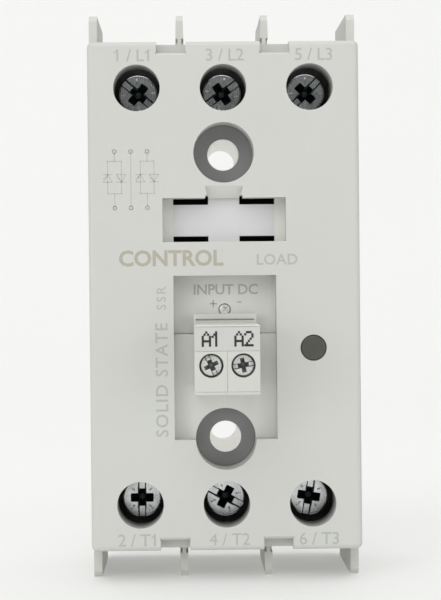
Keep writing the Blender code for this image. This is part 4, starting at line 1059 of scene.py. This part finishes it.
def strokes(name, lines, width, ink, surface=FACE):
    """Thin flat bars between pairs of (x, z) points on a surface, in millimetres, as one piece."""
    marks = bmesh.new()
    for (x1, z1), (x2, z2) in lines:
        length = math.hypot(x2 - x1, z2 - z1) + width
        angle = math.atan2(z2 - z1, x2 - x1)
        spot = Matrix.Translation(((x1 + x2) / 2 * mm, surface - FILM / 2, (z1 + z2) / 2 * mm))
        size = Matrix.Diagonal((length * mm, FILM, width * mm, 1.0))
        bmesh.ops.create_cube(marks, size=1.0, matrix=spot @ Matrix.Rotation(-angle, 4, "Y") @ size)
    mesh = bpy.data.meshes.new(name)
    marks.to_mesh(mesh)
    marks.free()
    obj = add_object(name, mesh)
    dress(obj, ink)
    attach(obj, "root")


def ring_lines(x, z, radius=0.3, sides=10):
    """The outline of a small open terminal ring."""
    points = [
        (x + radius * math.cos(math.tau * step / sides), z + radius * math.sin(math.tau * step / sides))
        for step in range(sides + 1)
    ]
    return list(zip(points, points[1:]))


def thyristor_lines(x, z, direction):
    """A triangle with its bar and gate, pointing up or down."""
    base, tip = z - direction * 0.62, z + direction * 0.62
    corners = [(x - 0.72, base), (x + 0.72, base), (x, tip)]
    lines = [(corners[0], corners[1]), (corners[1], corners[2]), (corners[2], corners[0])]
    lines.append(((x - 0.72, tip), (x + 0.72, tip)))
    lines.append(((x - 0.25, tip - direction * 0.4), (x - 0.8, tip - direction * 0.75)))
    return lines


SYMBOL_TOP = 24.0
SYMBOL_BOTTOM = 14.7
symbol = []
for x in (-18.05, -12.66):
    left, right = x - 1.13, x + 1.13
    middle = (SYMBOL_TOP + SYMBOL_BOTTOM) / 2 + 0.25
    upper, lower = middle + 2.8, middle - 2.55
    symbol += [((x, SYMBOL_TOP - 0.3), (x, upper)), ((x, lower), (x, SYMBOL_BOTTOM + 0.3))]
    symbol += [((left, upper), (right, upper)), ((left, lower), (right, lower))]
    symbol += [((left, upper), (left, lower)), ((right, upper), (right, lower))]
    symbol += thyristor_lines(left, middle, 1) + thyristor_lines(right, middle, -1)
    symbol += ring_lines(x, SYMBOL_TOP) + ring_lines(x, SYMBOL_BOTTOM)
middle_x = -15.36
symbol.append(((middle_x, SYMBOL_TOP - 0.3), (middle_x, SYMBOL_BOTTOM + 0.3)))
symbol += ring_lines(middle_x, SYMBOL_TOP) + ring_lines(middle_x, SYMBOL_BOTTOM)
strokes("wiring_symbol", symbol, 0.11, laser_grey)
strokes("one_flags", one_flags, 0.2, laser_grey, FACE - 0.004 * mm)
plus = [((-2.4, -1.3), (-1.4, -1.3)), ((-1.9, -1.8), (-1.9, -0.8))]
minus = [((2.2, -1.05), (2.75, -1.05))]
strokes("polarity_marks", plus + minus, 0.22, laser_grey, POCKET_FLOOR)

# ---------------------------------------------------------------- floor and light
# A seamless white sweep, faintly lit from behind like a tent, that the relay stands on. Wide soft boxes
# light it from above and the sides: the screws' flat heads mirror the dim room above and the floor below.

floor_z = cad_low.z
FAR_EDGE = 0.9


def at_back(corners):
    return min(corner.y for corner in corners) > FAR_EDGE


bpy.ops.object.select_all(action="DESELECT")
bpy.ops.mesh.primitive_plane_add(size=1.0, location=(0.0, -1.0, floor_z))
floor = bpy.context.object
floor.scale = (8.0, 4.0, 1.0)
take(floor, "floor")
pick(floor)
bpy.ops.object.mode_set(mode="EDIT")
choose_edges(floor, at_back)
bpy.ops.mesh.extrude_region_move(TRANSFORM_OT_translate={"value": (0.0, 0.0, 3.0)})
choose_edges(floor, lambda corners: at_back(corners) and max(corner.z for corner in corners) < floor_z + mm)
bpy.ops.mesh.bevel(offset=0.7, segments=24, profile=0.5, affect="EDGES")
bpy.ops.mesh.select_all(action="SELECT")
bpy.ops.mesh.normals_make_consistent(inside=True)
bpy.ops.object.mode_set(mode="OBJECT")
bpy.ops.object.shade_smooth()
floor.select_set(False)
floor_paint, tree, shader = start_material("white_sweep")
unevenness = noise(tree, object_place(tree), 4.0)
paint = mixed(tree, unevenness, (0.59, 0.595, 0.585), (0.57, 0.575, 0.565))
tree.links.new(paint, shader.inputs["Base Color"])
shader.inputs["Roughness"].default_value = 0.8
shader.inputs["Specular IOR Level"].default_value = 0.2
shader.inputs["Emission Color"].default_value = (1.0, 1.0, 0.98, 1.0)
shader.inputs["Emission Strength"].default_value = 0.28
dress(floor, floor_paint)

world = bpy.data.worlds.new("studio")
bpy.context.scene.world = world
world.use_nodes = True
tree = world.node_tree
facing = tree.nodes.new("ShaderNodeVectorMath")
facing.operation = "DOT_PRODUCT"
facing.inputs[1].default_value = (0.0, -0.995, 0.1)
tree.links.new(tree.nodes.new("ShaderNodeTexCoord").outputs["Generated"], facing.inputs[0])
gap = tree.nodes.new("ShaderNodeMapRange")
gap.inputs["From Min"].default_value = 0.8
gap.inputs["From Max"].default_value = 0.93
tree.links.new(facing.outputs["Value"], gap.inputs["Value"])
room = mixed(tree, gap.outputs["Result"], (1.0, 1.0, 0.985), (0.04, 0.04, 0.045))
tree.links.new(room, tree.nodes["Background"].inputs["Color"])
tree.nodes["Background"].inputs["Strength"].default_value = 0.36


def soft_box(name, place, target, size, power):
    """A wide area light that faces its target."""
    bpy.ops.object.select_all(action="DESELECT")
    bpy.ops.object.light_add(type="AREA", location=place)
    light = bpy.context.object
    light.name = name
    light.data.shape = "RECTANGLE"
    light.data.size = size[0]
    light.data.size_y = size[1]
    light.data.energy = power
    light.rotation_euler = (Vector(target) - Vector(place)).to_track_quat("-Z", "Y").to_euler()


soft_box("key_box", (-0.4, -2.2, 1.9), (0.0, 0.0, 0.0), (2.6, 2.0), 36.0)
soft_box("left_box", (-2.0, -2.0, 0.35), (0.0, 0.0, 0.0), (1.4, 1.4), 19.0)
soft_box("right_box", (2.0, -2.1, 0.35), (0.0, 0.0, 0.0), (1.4, 1.4), 15.0)
soft_box("top_box", (0.0, -0.1, 2.4), (0.0, -0.1, 0.0), (3.0, 2.0), 24.5)
bpy.context.scene.view_settings.view_transform = "Standard"
